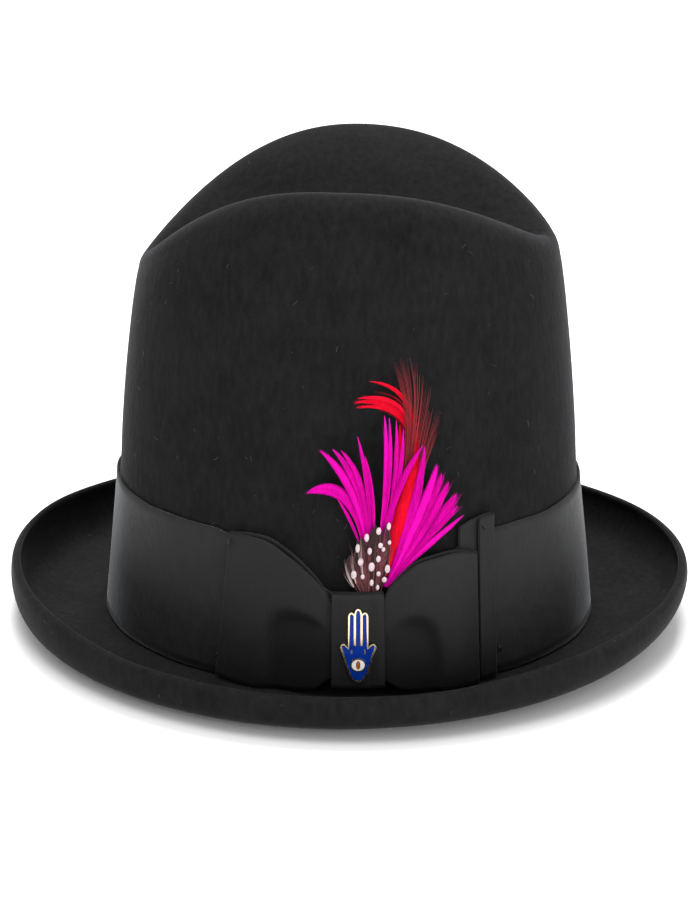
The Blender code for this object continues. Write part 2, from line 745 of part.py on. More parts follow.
def boolean(item, other, operation):
    """Joins or cuts, and keeps the result as the item's own mesh."""
    step = item.modifiers.new("boolean", "BOOLEAN")
    step.operation = operation
    step.solver = "EXACT"
    step.object = other
    step.use_self = operation == "UNION"
    bpy.context.view_layer.update()
    made = evaluated_mesh(item)
    item.modifiers.clear()
    old = item.data
    item.data = made
    bpy.data.meshes.remove(old)


def fuse(item, others):
    for other in others:
        boolean(item, other, "UNION")
        bpy.data.objects.remove(other, do_unlink=True)


def subtract(item, cutter):
    boolean(item, cutter, "DIFFERENCE")


def reach_of(vertices):
    """The largest side of the box round some vertices."""
    sides = []
    for axis in range(3):
        values = [vertex.co[axis] for vertex in vertices]
        sides.append(max(values) - min(values))
    return max(sides)


def keep_outer_skin(item):
    """Fills the small voids that crossing strips close between them, by keeping only the outer skin."""
    work = bmesh.new()
    work.from_mesh(item.data)
    left = set(work.verts)
    islands = []
    while left:
        start = left.pop()
        island = {start}
        front = [start]
        while front:
            vertex = front.pop()
            for edge in vertex.link_edges:
                other = edge.other_vert(vertex)
                if other not in island:
                    island.add(other)
                    front.append(other)
        left -= island
        islands.append(island)
    islands.sort(key=reach_of)
    for island in islands[:-1]:
        bmesh.ops.delete(work, geom=list(island), context="VERTS")
    work.to_mesh(item.data)
    work.free()


def as_guide(item):
    item.hide_render = True
    item.display_type = "WIRE"


def bunch(name, rows, layer, stem, group, look):
    """A bunch of strips fused to their bound quills."""
    made = quill(name, stem, layer, group)
    strips = [strip_mesh(f"{name}_strip_{number}", row, layer, group) for number, row in enumerate(rows)]
    fuse(made, strips)
    keep_outer_skin(made)
    made.data.materials.clear()
    made.data.materials.append(look)
    made.data.shade_smooth()
    made.data.set_sharp_from_angle(angle=math.radians(40.0))
    return made


def prism(name, outline, low, high, group, look=None):
    """A flat outline raised from one level to another."""
    count = len(outline)
    points = [Vector((x, y, low)) for x, y in outline] + [Vector((x, y, high)) for x, y in outline]
    faces = [tuple(reversed(range(count))), tuple(range(count, 2 * count))]
    for step in range(count):
        after = (step + 1) % count
        faces.append((step, after, count + after, count + step))
    return object_from(name, points, faces, group, look, 30.0)


def round_outline(half_width, half_height, count, across=0.0, up=0.0):
    outline = []
    for step in range(count):
        turn = math.tau * step / count
        outline.append((across + half_width * math.cos(turn), up + half_height * math.sin(turn)))
    return outline


def bar_outline(across, low, high, half):
    return [(across - half, low), (across + half, low), (across + half, high), (across - half, high)]


def pin_outline():
    right = [(row.across * PIN_HEIGHT, row.up * PIN_HEIGHT) for row in PIN_OUTLINE]
    left = [(-x, y) for x, y in reversed(right[1:-1])]
    return right + left


def inset(outline, distance):
    """The same outline moved inward by an even distance."""
    count = len(outline)
    moved = []
    for step in range(count):
        before = Vector(outline[step - 1])
        here = Vector(outline[step])
        after = Vector(outline[(step + 1) % count])
        first = (here - before).normalized()
        second = (after - here).normalized()
        normal_first = Vector((-first.y, first.x))
        normal_second = Vector((-second.y, second.x))
        middle = (normal_first + normal_second).normalized()
        reach = distance / max(SHARPEST_CORNER, middle.dot(normal_first))
        moved.append(tuple(here + middle * reach))
    return moved


def pin_frame():
    """The pin's own axes: across, up the knot's face and out of it, its origin at the pin's lowest point."""
    out = KNOT_FRONT + RIBBON / 2.0 + KNOT_CROWN + GAP
    low = on_wall(KNOT_AT, PIN_FOOT, out)
    high = on_wall(KNOT_AT, PIN_FOOT + PIN_HEIGHT, out)
    left = on_wall(KNOT_AT - KNOT_WIDTH / 4.0, PIN_FOOT, out)
    right = on_wall(KNOT_AT + KNOT_WIDTH / 4.0, PIN_FOOT, out)
    across = (right - left).normalized()
    up = (high - low).normalized()
    outward = across.cross(up).normalized()
    up = outward.cross(across)
    turn = Matrix((across, up, outward)).transposed().to_4x4()
    return Matrix.Translation(low) @ turn


def pin_lines(room):
    """Outlines of the raised lines: two between the fingers and two slits at the thumbs' roots."""
    half = PIN_LINE / 2.0 + room
    lines = []
    for side in (-1.0, 1.0):
        finger = side * FINGER_LINE * PIN_HEIGHT
        lines.append(bar_outline(finger, FINGER_FOOT * PIN_HEIGHT - room, FINGER_TOP * PIN_HEIGHT, half))
        slit = side * SLIT_ACROSS * PIN_HEIGHT
        slit_foot = SLIT_FOOT * PIN_HEIGHT - room
        slit_top = SLIT_TOP * PIN_HEIGHT + room
        lines.append(bar_outline(slit, slit_foot, slit_top, half * SLIT_SHARE))
    return lines


def eye_outline(width, height):
    """An oval round the middle of the eye."""
    return round_outline(width / 2.0, height / 2.0, EYE_SIDES, 0.0, EYE_UP * PIN_HEIGHT)


def pin_plate(group, cutters, look):
    """The struck plate: its rim and lines raised, an oval ring round the eye, a plain post behind."""
    outline = pin_outline()
    top = PIN_PLATE + PIN_RAISED
    plate = prism("pin_plate", outline, 0.0, top, group, look)
    recess = prism("pin_recess", inset(outline, PIN_LINE), PIN_PLATE, top + CUTTER_ROOM, cutters)
    as_guide(recess)
    subtract(plate, recess)
    raised = []
    for number, line in enumerate(pin_lines(0.0)):
        raised.append(prism(f"pin_line_{number}", line, PIN_PLATE / 2.0, top - PIN_STEP, group))
    ring = eye_outline(EYE_WIDTH + 2.0 * EYE_RING, EYE_HEIGHT + 2.0 * EYE_RING)
    raised.append(prism("pin_eye_ring", ring, PIN_PLATE / 2.0 + PIN_STEP, top - 2.0 * PIN_STEP, group))
    post = round_outline(POST_RADIUS, POST_RADIUS, POST_SIDES, 0.0, POST_UP * PIN_HEIGHT)
    raised.append(prism("pin_post", post, -POST_LENGTH, PIN_PLATE * POST_ROOT, group))
    fuse(plate, raised)
    well = prism("pin_eye_well", eye_outline(EYE_WIDTH, EYE_HEIGHT), PIN_PLATE, top + CUTTER_ROOM, cutters)
    as_guide(well)
    subtract(plate, well)
    return plate


def pin_fillings(group, cutters, looks):
    """Enamel between the raised lines, the white of the eye, and the pupil set in it."""
    top = PIN_PLATE + PIN_RAISED
    floor = PIN_PLATE + PIN_CLEAR
    enamel_top = top - ENAMEL_BELOW
    room = 2.0 * (EYE_RING + PIN_CLEAR)
    field = inset(pin_outline(), PIN_LINE + PIN_CLEAR)
    enamel = prism("pin_enamel", field, floor, enamel_top, group, looks["blue"])
    rooms = pin_lines(PIN_CLEAR) + [eye_outline(EYE_WIDTH + room, EYE_HEIGHT + room)]
    for number, line in enumerate(rooms):
        cutter = prism(f"pin_line_room_{number}", line, 0.0, top + CUTTER_ROOM, cutters)
        as_guide(cutter)
        subtract(enamel, cutter)
    clear = 2.0 * PIN_CLEAR
    eye_top = enamel_top + ENAMEL_BELOW / 2.0
    white = eye_outline(EYE_WIDTH - clear, EYE_HEIGHT - clear)
    eye = prism("pin_eye", white, floor, eye_top, group, looks["white"])
    well = eye_outline(PUPIL_WIDTH, PUPIL_HEIGHT)
    hole = prism("pin_pupil_room", well, 0.0, top + CUTTER_ROOM, cutters)
    as_guide(hole)
    subtract(eye, hole)
    oval_pupil = eye_outline(PUPIL_WIDTH - clear, PUPIL_HEIGHT - clear)
    pupil = prism("pin_pupil", oval_pupil, floor, top, group, looks["brown"])
    return [enamel, eye, pupil]


def pin(group, cutters, looks):
    """The whole pin, set on the knot's face."""
    frame = pin_frame()
    for item in [pin_plate(group, cutters, looks["gold"])] + pin_fillings(group, cutters, looks):
        item.data.transform(frame)
        item.data.shade_smooth()
        item.data.set_sharp_from_angle(angle=math.radians(30.0))


def main():
    clear_scene()
    group = make_collection("trilby")
    cutters = make_collection("cutters")
    felt = material("black_felt", (0.012, 0.012, 0.013), 0.95)
    ribbon = material("black_ribbon", (0.022, 0.022, 0.024), 0.6)
    pink = material("pink_feather", (0.90, 0.005, 0.42), 0.7)
    red = material("red_feather", (0.62, 0.006, 0.045), 0.7)
    guinea = material("guinea_feather", (0.13, 0.035, 0.03), 0.7)
    looks = {
        "gold": material("gold_tone", (0.82, 0.62, 0.30), 0.25, 1.0),
        "blue": material("blue_enamel", (0.005, 0.03, 0.30), 0.15),
        "white": material("white_enamel", (0.88, 0.86, 0.82), 0.15),
        "brown": material("brown_enamel", (0.33, 0.09, 0.02), 0.15),
    }
    felt_body(group, felt)
    hat_band(group, ribbon)
    left = (LEFT_EDGES, LEFT_FRONT, LEFT_BACK, LEFT_EDGES[0].along, LEFT_EDGES[-1].along, LEFT_SLANT)
    bow_loop("bow_left_loop", *left, group, ribbon)
    right = (RIGHT_EDGES, RIGHT_FRONT, RIGHT_BACK, RIGHT_EDGES[-1].along, RIGHT_EDGES[0].along, RIGHT_SLANT)
    bow_loop("bow_right_loop", *right, group, ribbon)
    bow_knot(group, ribbon, cutters)
    ribbon_end(group, ribbon)
    bunch("pink_feathers", PINK_STRIPS, PINK_LAYER, PINK_STEM, group, pink)
    bunch("red_feathers", RED_STRIPS, RED_LAYER, RED_STEM, group, red)
    bunch("guinea_feathers", GUINEA_STRIPS, GUINEA_LAYER, GUINEA_STEM, group, guinea)
    pin(group, cutters, looks)


main()
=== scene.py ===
"""The dressed trilby: blocked felt, grosgrain band and bow, trimmed feathers and an enamelled hand pin."""

import math

import bmesh
import bpy
import numpy as np
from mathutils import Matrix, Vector


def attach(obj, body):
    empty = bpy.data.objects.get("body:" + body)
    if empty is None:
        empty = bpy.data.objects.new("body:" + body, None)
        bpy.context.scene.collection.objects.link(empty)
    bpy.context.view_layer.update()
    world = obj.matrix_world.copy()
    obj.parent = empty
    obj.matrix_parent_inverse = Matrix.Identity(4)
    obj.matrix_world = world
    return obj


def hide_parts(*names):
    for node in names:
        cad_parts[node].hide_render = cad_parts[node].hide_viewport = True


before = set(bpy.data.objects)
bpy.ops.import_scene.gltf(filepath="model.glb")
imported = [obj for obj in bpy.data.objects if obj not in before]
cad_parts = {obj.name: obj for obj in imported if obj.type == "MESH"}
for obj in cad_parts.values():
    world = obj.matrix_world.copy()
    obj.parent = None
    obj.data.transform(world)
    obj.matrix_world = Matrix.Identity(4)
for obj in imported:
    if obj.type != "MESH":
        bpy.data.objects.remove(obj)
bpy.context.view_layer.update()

# Felt body
# One cap of wool felt, steamed over a block, with a lengthwise dent pressed into its top.
# The brim is cut raw and rolled up all round, so the rim's outer face shows from the side.
FELT = 0.0022
HEAD_LENGTH = 0.196
HEAD_WIDTH = 0.163
BRIM_REACH = 0.0436
BRIM_REACH_SIDE = 0.0457
BRIM_SET = 0.28
RIM_SQUARING = 0.04
RIM_HEIGHT_SIDE = 0.0181
RIM_HEIGHT_END = 0.0265
BAND_TOP = 0.0626
RIDGE_MIDDLE = 0.1914
RIDGE_FRONT = 0.1520
RIDGE_BACK = 0.1621
RIDGE_FALL = 2.65
DENT_FLOOR = 0.1580
FELT_COLUMNS = 288
FELT_STEPS = 5  # rows between one ring of the block and the next
FELT_START = 0.37  # where the first column lies, in half columns
LIP_TURNS = (-60, -30, 0, 30, 60)  # degrees round the cut edge of the brim
# Hand-blocked felt is never quite even: waves along the brim's edge, and how many rings they fade over
UNEVEN = 0.00035
EDGE_WAVES = ((3, 0.6, 1.0), (7, 2.1, 0.6), (13, 0.0, 0.4))
EDGE_FADE = 1.2

# Brim rings from the rolled edge in: share of the reach, share of the rim's height, and whether the ring
# follows the rim's rise toward the front and the back
BRIM_RINGS = np.array([
    (0.945, 1.000, 1), (0.975, 0.970, 1), (1.000, 0.820, 1), (0.990, 0.580, 1), (0.940, 0.350, 1),
    (0.840, 0.160, 1), (0.680, 0.060, 1), (0.300, 0.000, 1), (0.095, 0.000, 0), (0.025, 0.035, 0),
])
# Rings on the straight wall under the band, as heights
WALL_RINGS = (0.0036, 0.0090, 0.0250, 0.0450, 0.0590)
# Crown rings: share of the rise to the ridge, shares of the head's length and width, the oval's exponent
CROWN_RINGS = np.array([
    (0.00, 0.942, 0.941, 2.00), (0.22, 0.927, 0.930, 2.00), (0.45, 0.907, 0.908, 2.00),
    (0.66, 0.884, 0.872, 1.98), (0.83, 0.862, 0.828, 1.93), (0.93, 0.845, 0.785, 1.87),
    (0.98, 0.831, 0.741, 1.81), (1.00, 0.806, 0.693, 1.75),
])
# Rings inside the ridges: shares of the ridge ring's length and width
DENT_RINGS = ((0.965, 0.84), (0.925, 0.64), (0.885, 0.43), (0.850, 0.20), (0.840, 0.0))


def through(stations, values, at):
    """A smooth curve through the values at their stations, read at the places asked for."""
    stations = np.asarray(stations, float)
    values = np.asarray(values, float)
    flat = values.reshape(len(stations), -1)
    steps = np.diff(stations)[:, None]
    slopes = np.diff(flat, axis=0) / steps
    tangents = np.vstack([slopes[:1], slopes, slopes[-1:]])[: len(flat)]
    tangents[1:-1] = (slopes[:-1] * steps[1:] + slopes[1:] * steps[:-1]) / (steps[:-1] + steps[1:])
    tangents[-1] = slopes[-1]
    places = np.clip(np.asarray(at, float), stations[0], stations[-1])
    index = np.clip(np.searchsorted(stations, places, side="right") - 1, 0, len(steps) - 1)
    step = steps[index]
    share = ((places - stations[index]) / step[:, 0])[:, None]
    low = flat[index] * (1 + 2 * share) * (1 - share) ** 2 + tangents[index] * step * share * (1 - share) ** 2
    high = flat[index + 1] * (3 - 2 * share) * share**2 - tangents[index + 1] * step * share**2 * (1 - share)
    return (low + high).reshape((len(places),) + values.shape[1:])


def oval(half_length, half_width, angle, roundness):
    """Points on an oval; the angle runs from the bow's side (-Y) toward the back (+X)."""
    sine = np.sin(angle)
    cosine = np.cos(angle)
    x = half_length * np.sign(sine) * np.abs(sine) ** (2 / roundness)
    y = -half_width * np.sign(cosine) * np.abs(cosine) ** (2 / roundness)
    return x, y


def ridge_height(angle):
    toward = np.sin(angle)
    end = np.where(toward > 0, RIDGE_BACK, RIDGE_FRONT)
    return RIDGE_MIDDLE - (RIDGE_MIDDLE - end) * np.abs(toward) ** RIDGE_FALL


def crown_ring(angle, rise):
    length, width, roundness = (np.interp(rise, CROWN_RINGS[:, 0], CROWN_RINGS[:, k]) for k in (1, 2, 3))
    x, y = oval(length * HEAD_LENGTH / 2, width * HEAD_WIDTH / 2, angle, roundness)
    return np.stack([x, y, BAND_TOP + rise * (ridge_height(angle) - BAND_TOP)], axis=-1)


def crown_foot(angle, height):
    """The straight wall of the crown, from its foot to the band's top."""
    reach, lift = BRIM_RINGS[-1, :2]
    low = lift * RIM_HEIGHT_SIDE
    share = (height - low) / (BAND_TOP - low)
    length = HEAD_LENGTH / 2 + reach * BRIM_REACH
    width = HEAD_WIDTH / 2 + reach * BRIM_REACH_SIDE
    length = length + share * (CROWN_RINGS[0, 1] * HEAD_LENGTH / 2 - length)
    width = width + share * (CROWN_RINGS[0, 2] * HEAD_WIDTH / 2 - width)
    x, y = oval(length, width, angle, 2.0)
    return np.stack([x, y, height + 0 * angle], axis=-1)


def brim_ring(angle, reach, lift, follows):
    rim = RIM_HEIGHT_SIDE + follows * (RIM_HEIGHT_END - RIM_HEIGHT_SIDE) * np.sin(angle) ** 2
    lift = lift ** (1 - follows * BRIM_SET * np.sin(angle))
    length = HEAD_LENGTH / 2 + reach * BRIM_REACH
    width = HEAD_WIDTH / 2 + reach * BRIM_REACH_SIDE
    x, y = oval(length, width, angle, 2 - RIM_SQUARING * reach)
    return np.stack([x, y, lift * rim + 0 * angle], axis=-1)


def dent_ring(ridge, length, width):
    """A ring inside the ridges, on the rounded valley between them."""
    x = ridge[:, 0] * length
    y = ridge[:, 1] * width
    half_length = CROWN_RINGS[-1, 1] * HEAD_LENGTH / 2
    half_width = CROWN_RINGS[-1, 2] * HEAD_WIDTH / 2
    roundness = CROWN_RINGS[-1, 3]
    toward = np.clip(x / half_length, -1, 1)
    edge = half_width * (1 - np.abs(toward) ** roundness) ** (1 / roundness)
    share = np.minimum(1, np.abs(y) / np.maximum(edge, 1e-5))
    sine = np.clip(np.sign(toward) * np.abs(toward) ** (roundness / 2), -1, 1)
    end = np.where(toward > 0, RIDGE_BACK, RIDGE_FRONT)
    floor = DENT_FLOOR + (end - DENT_FLOOR) * toward**2
    climb = 0.5 - 0.5 * np.cos(np.pi * share)
    return np.stack([x, y, floor + (ridge_height(np.arcsin(sine)) - floor) * climb], axis=-1)


def felt_rows(angle):
    rings = [brim_ring(angle, *ring) for ring in BRIM_RINGS]
    rings += [crown_foot(angle, height) for height in WALL_RINGS]
    rings += [crown_ring(angle, rise) for rise in CROWN_RINGS[:, 0]]
    ridge = rings[-1]
    rings += [dent_ring(ridge, length, width) for length, width in DENT_RINGS]
    rings = np.array(rings)
    gaps = np.linalg.norm(np.diff(rings, axis=0), axis=2).mean(axis=1)
    stations = np.concatenate([[0], np.cumsum(gaps)])
    places = []
    for low, high in zip(stations, stations[1:]):
        places += list(low + (high - low) * np.arange(FELT_STEPS) / FELT_STEPS)
    return through(stations, rings, places + [stations[-1]])


def sheet_normals(grid):
    """Outward directions of a ring-by-ring grid that closes on itself sideways."""
    sideways = np.roll(grid, -1, axis=1) - np.roll(grid, 1, axis=1)
    onward = np.gradient(grid, axis=0)
    normal = np.cross(sideways, onward)
    return normal / np.maximum(np.linalg.norm(normal, axis=2, keepdims=True), 1e-12)


def mesh_from(name, points, faces, look=None, uv=None):
    """A mesh object at the origin; uv gives one place for each corner of each face."""
    mesh = bpy.data.meshes.new(name)
    mesh.from_pydata(np.asarray(points, float).reshape(-1, 3).tolist(), [], faces)
    if uv is not None:
        layer = mesh.uv_layers.new(name="cloth")
        layer.data.foreach_set("uv", np.asarray(uv, np.float32).ravel())
    if look:
        mesh.materials.append(look)
    mesh.shade_smooth()
    made = bpy.data.objects.new(name, mesh)
    bpy.context.scene.collection.objects.link(made)
    return made


def tidy_mesh(item, merge=0.00001):
    """Closes seams and poles and turns every face outward."""
    work = bmesh.new()
    work.from_mesh(item.data)
    bmesh.ops.remove_doubles(work, verts=work.verts, dist=merge)
    bmesh.ops.dissolve_degenerate(work, edges=work.edges, dist=merge / 10)
    bmesh.ops.recalc_face_normals(work, faces=work.faces)
    work.to_mesh(item.data)
    work.free()
    item.data.shade_smooth()


def ring_faces(rows, columns):
    """Four-cornered faces between the rings of a grid that closes on itself sideways."""
    faces = []
    for row in range(rows - 1):
        low = row * columns
        high = low + columns
        for column in range(columns):
            side = (column + 1) % columns
            faces.append((low + column, low + side, high + side, high + column))
    return faces


def felt_skin():
    """The under face, the outer face, and the cut edge rounded between them, as one closed skin."""
    angle = np.linspace(-np.pi, np.pi, FELT_COLUMNS, endpoint=False) + FELT_START * np.pi / FELT_COLUMNS
    under = felt_rows(angle)
    normal = sheet_normals(under)
    rows = len(under)
    wander = UNEVEN * sum(size * np.sin(waves * angle + start) for waves, start, size in EDGE_WAVES)
    fade = np.exp(-np.arange(rows) / (EDGE_FADE * FELT_STEPS))[:, None, None]
    under = under + fade * wander[None, :, None] * np.array([0, 0, 1.0])
    outer = under + normal * FELT
    edge = under[0] - under[1]
    edge = edge / np.linalg.norm(edge, axis=1, keepdims=True)
    middle = (under[0] + outer[0]) / 2
    lip = []
    for turn in np.radians(LIP_TURNS):
        lip.append(middle + normal[0] * FELT / 2 * np.sin(turn) + edge * FELT / 2 * np.cos(turn))
    grid = np.concatenate([under[::-1], np.array(lip), outer])
    skin = mesh_from("felt_skin", grid, ring_faces(len(grid), FELT_COLUMNS))
    tidy_mesh(skin)
    return skin


class Tone:
    """An output in a finish's nodes. Sums, differences and products of tones add Math nodes."""

    def __init__(self, finish, socket):
        self.finish = finish
        self.socket = socket

    def sum_of(self, operation, first, second):
        return self.finish.node("ShaderNodeMath", {"operation": operation}, {0: first, 1: second})

    def __add__(self, other):
        return self.sum_of("ADD", self, other)

    def __sub__(self, other):
        return self.sum_of("SUBTRACT", self, other)

    def __mul__(self, other):
        return self.sum_of("MULTIPLY", self, other)

    __radd__ = __add__

    def sine(self):
        return self.sum_of("SINE", self, 0.0)

    def clamped(self, low, high):
        """The share of the way from low to high, held between 0 and 1."""
        return self.finish.node("ShaderNodeMapRange", {"clamp": True}, {"Value": self, 1: low, 2: high})


class Finish:
    """A material whose Principled shader has fixed values and takes tones for what varies."""

    def __init__(self, name, **fixed):
        self.look = bpy.data.materials.new(name)
        self.look.use_nodes = True
        self.tree = self.look.node_tree
        self.shader = self.tree.nodes["Principled BSDF"]
        for socket, value in fixed.items():
            self.shader.inputs[socket.replace("_", " ")].default_value = value

    def node(self, kind, settings=None, inputs=None, output=0):
        made = self.tree.nodes.new(kind)
        for key, value in (settings or {}).items():
            setattr(made, key, value)
        for key, value in (inputs or {}).items():
            if isinstance(value, Tone):
                self.tree.links.new(value.socket, made.inputs[key])
            else:
                made.inputs[key].default_value = value
        return Tone(self, made.outputs[output])

    def place(self, kind="Object"):
        return self.node("ShaderNodeTexCoord", output=kind)

    def kept(self, key):
        """What an attribute of the mesh says."""
        return self.node("ShaderNodeAttribute", {"attribute_name": key}, output="Fac")

    def parts(self, vector):
        """The three parts of a vector as separate tones."""
        made = self.node("ShaderNodeSeparateXYZ", inputs={0: vector}).socket.node
        return [Tone(self, socket) for socket in made.outputs]

    def stretched(self, vector, scale):
        return self.node("ShaderNodeVectorMath", {"operation": "MULTIPLY"}, {0: vector, 1: scale})

    def noise(self, place, scale, detail=2.0, rough=0.5):
        inputs = {"Vector": place, "Scale": scale, "Detail": detail, "Roughness": rough}
        return self.node("ShaderNodeTexNoise", inputs=inputs)

    def blend(self, share, first, second):
        """One colour turning into another."""
        inputs = {0: share, 6: first if isinstance(first, Tone) else (*first, 1)}
        inputs[7] = second if isinstance(second, Tone) else (*second, 1)
        return self.node("ShaderNodeMix", {"data_type": "RGBA"}, inputs, 2)

    def feed(self, socket, tone):
        self.tree.links.new(tone.socket, self.shader.inputs[socket])

    def bump(self, height, distance, strength=1.0):
        inputs = {"Strength": strength, "Distance": distance, "Height": height}
        self.feed("Normal", self.node("ShaderNodeBump", inputs=inputs))


def felt_finish():
    """Close black wool: matted fibres, faint patches where the nap lies another way, a pale low sheen."""
    finish = Finish(
        "black_felt", Roughness=0.95, Specular_IOR_Level=0.12, Sheen_Weight=0.13, Sheen_Roughness=0.28,
        Sheen_Tint=(0.62, 0.64, 0.68, 1),
    )
    place = finish.place()
    matted = finish.noise(place, scale=1500, detail=4, rough=0.65)
    patches = finish.noise(place, scale=42, detail=3, rough=0.55)
    nap = finish.noise(finish.stretched(place, (1, 1, 0.35)), scale=420, detail=3, rough=0.6)
    share = (matted * 0.6 + patches * 0.5 + nap * 0.8).clamped(0.6, 1.4)
    finish.feed("Base Color", finish.blend(share, (0.0031, 0.0031, 0.0035), (0.0150, 0.0150, 0.0158)))
    finish.bump(matted * 0.7 + nap, distance=0.00035, strength=0.55)
    return finish.look


def plain_mesh(item, name, look):
    """The evaluated result of an item's modifiers as a new plain object; the item itself is removed."""
    bpy.context.view_layer.update()
    mesh = bpy.data.meshes.new_from_object(item.evaluated_get(bpy.context.evaluated_depsgraph_get()))
    mesh.name = name
    bpy.data.objects.remove(item, do_unlink=True)
    mesh.materials.clear()
    mesh.materials.append(look)
    made = bpy.data.objects.new(name, mesh)
    bpy.context.scene.collection.objects.link(made)
    return made


class Growth:
    """A geometry node tree built step by step, with named inputs."""

    def __init__(self, name, **sizes):
        self.tree = bpy.data.node_groups.new(name, "GeometryNodeTree")
        self.tree.interface.new_socket("Geometry", in_out="INPUT", socket_type="NodeSocketGeometry")
        self.tree.interface.new_socket("Geometry", in_out="OUTPUT", socket_type="NodeSocketGeometry")
        self.sizes = {}
        for key, value in sizes.items():
            kind = "NodeSocketInt" if isinstance(value, int) else "NodeSocketFloat"
            if isinstance(value, bpy.types.Material):
                kind = "NodeSocketMaterial"
            socket = self.tree.interface.new_socket(key, in_out="INPUT", socket_type=kind)
            self.sizes[key] = (socket.identifier, value)
        self.start = self.tree.nodes.new("NodeGroupInput")
        self.end = self.tree.nodes.new("NodeGroupOutput")

    def size(self, key):
        return self.start.outputs[key]

    def node(self, kind, settings=None, inputs=None, output=0):
        made = self.tree.nodes.new(kind)
        for key, value in (settings or {}).items():
            setattr(made, key, value)
        for key, value in (inputs or {}).items():
            if isinstance(value, bpy.types.NodeSocket):
                self.tree.links.new(value, made.inputs[key])
            else:
                made.inputs[key].default_value = value
        return made.outputs[output]

    def sum_of(self, operation, first, second):
        return self.node("ShaderNodeMath", {"operation": operation}, {0: first, 1: second})

    def chance(self, low, high, seed):
        inputs = {2: low, 3: high, "Seed": seed}
        return self.node("FunctionNodeRandomValue", {"data_type": "FLOAT"}, inputs, 1)

    def vector(self, x, y, z):
        return self.node("ShaderNodeCombineXYZ", inputs={0: x, 1: y, 2: z})

    def points(self):
        return self.node("GeometryNodeMeshToPoints", inputs={0: self.start.outputs[0]})

    def line(self):
        return self.node("GeometryNodeMeshToCurve", inputs={0: self.start.outputs[0]})

    def kept(self, key, kind="FLOAT"):
        """What an attribute says at each point."""
        return self.node("GeometryNodeInputNamedAttribute", {"data_type": kind}, {"Name": key})

    def keep(self, geometry, key, value, domain):
        """The same geometry with a number kept on it under a name, for its finish to read."""
        inputs = {"Geometry": geometry, "Name": key, "Value": value}
        settings = {"data_type": "FLOAT", "domain": domain}
        return self.node("GeometryNodeStoreNamedAttribute", settings, inputs)

    def arc(self, steps, start, middle, end):
        inputs = {"Resolution": steps, "Start": start, "Middle": middle, "End": end}
        return self.node("GeometryNodeCurveQuadraticBezier", inputs=inputs)

    def tube(self, line, sides, radius, taper=1.0):
        """A closed tube along a line; taper is its thickness there as a share."""
        inputs = {"Resolution": sides, "Radius": radius}
        section = self.node("GeometryNodeCurvePrimitiveCircle", inputs=inputs)
        inputs = {0: line, 1: section, "Scale": taper, "Fill Caps": True}
        return self.node("GeometryNodeCurveToMesh", inputs=inputs)

    def tapering(self, full, power):
        """A share that falls from full at a line's root, slowly and then fast, toward its tip."""
        factor = self.node("GeometryNodeSplineParameter")
        return self.sum_of("SUBTRACT", full, self.sum_of("POWER", factor, power))

    def facing(self, first, toward, second, also):
        """A turn that points one axis toward a direction and a second axis as near as it can to another."""
        settings = {"primary_axis": first, "secondary_axis": second}
        return self.node("FunctionNodeAxesToRotation", settings, {0: toward, 1: also})

    def spun(self, turn, angle):
        """The same turn after a spin about its own upright axis."""
        spin = self.node("FunctionNodeAxisAngleToRotation", inputs={0: (0, 0, 1), 1: angle})
        return self.node("FunctionNodeRotateRotation", {"rotation_space": "LOCAL"}, {0: turn, 1: spin})

    def placed(self, points, item, turn, size):
        inputs = {"Points": points, "Instance": item, "Rotation": turn, "Scale": size}
        return self.node("GeometryNodeInstanceOnPoints", inputs=inputs)

    def finish(self, geometry):
        real = self.node("GeometryNodeRealizeInstances", inputs={0: geometry})
        dressed = self.node("GeometryNodeSetMaterial", inputs={0: real, "Material": self.size("Look")})
        self.tree.links.new(dressed, self.end.inputs[0])

    def grow(self, item, name):
        """Runs the tree on an item and leaves the result as a plain mesh."""
        step = item.modifiers.new("growth", "NODES")
        step.node_group = self.tree
        for identifier, value in self.sizes.values():
            step[identifier] = value
        look = self.sizes["Look"][1]
        return plain_mesh(item, name, look)


def fibre_growth(name, look, per_square_metre, length, thickness, lift, seed):
    """Short curved fibres that stand off a surface at random."""
    growth = Growth(name, Per_square_metre=per_square_metre, Length=length, Thickness=thickness, Lift=lift,
                    Seed=seed, Look=look)
    points = growth.tree.nodes.new("GeometryNodeDistributePointsOnFaces")
    growth.tree.links.new(growth.start.outputs[0], points.inputs["Mesh"])
    growth.tree.links.new(growth.size("Per_square_metre"), points.inputs["Density"])
    growth.tree.links.new(growth.size("Seed"), points.inputs["Seed"])
    middle = growth.vector(0.35, 0.10, growth.size("Lift"))
    end = growth.vector(1.0, -0.15, growth.sum_of("MULTIPLY", growth.size("Lift"), 0.8))
    share = growth.sum_of("DIVIDE", growth.size("Thickness"), growth.size("Length"))
    fibre = growth.tube(growth.arc(3, (0, 0, 0), middle, end), 3, share)
    turn = growth.spun(points.outputs["Rotation"], growth.chance(0.0, math.tau, 11))
    size = growth.sum_of("MULTIPLY", growth.size("Length"), growth.chance(0.45, 1.35, 12))
    growth.finish(growth.placed(points.outputs["Points"], fibre, turn, size))
    return growth


# Nothing grows where a face lies inside the head space or looks down at the table
INSIDE_FROM = 0.006
INSIDE_REACH = 0.101
INSIDE_LOOK = -0.15
DOWN_LOOK = -0.6
BARE_UNDER = 0.003


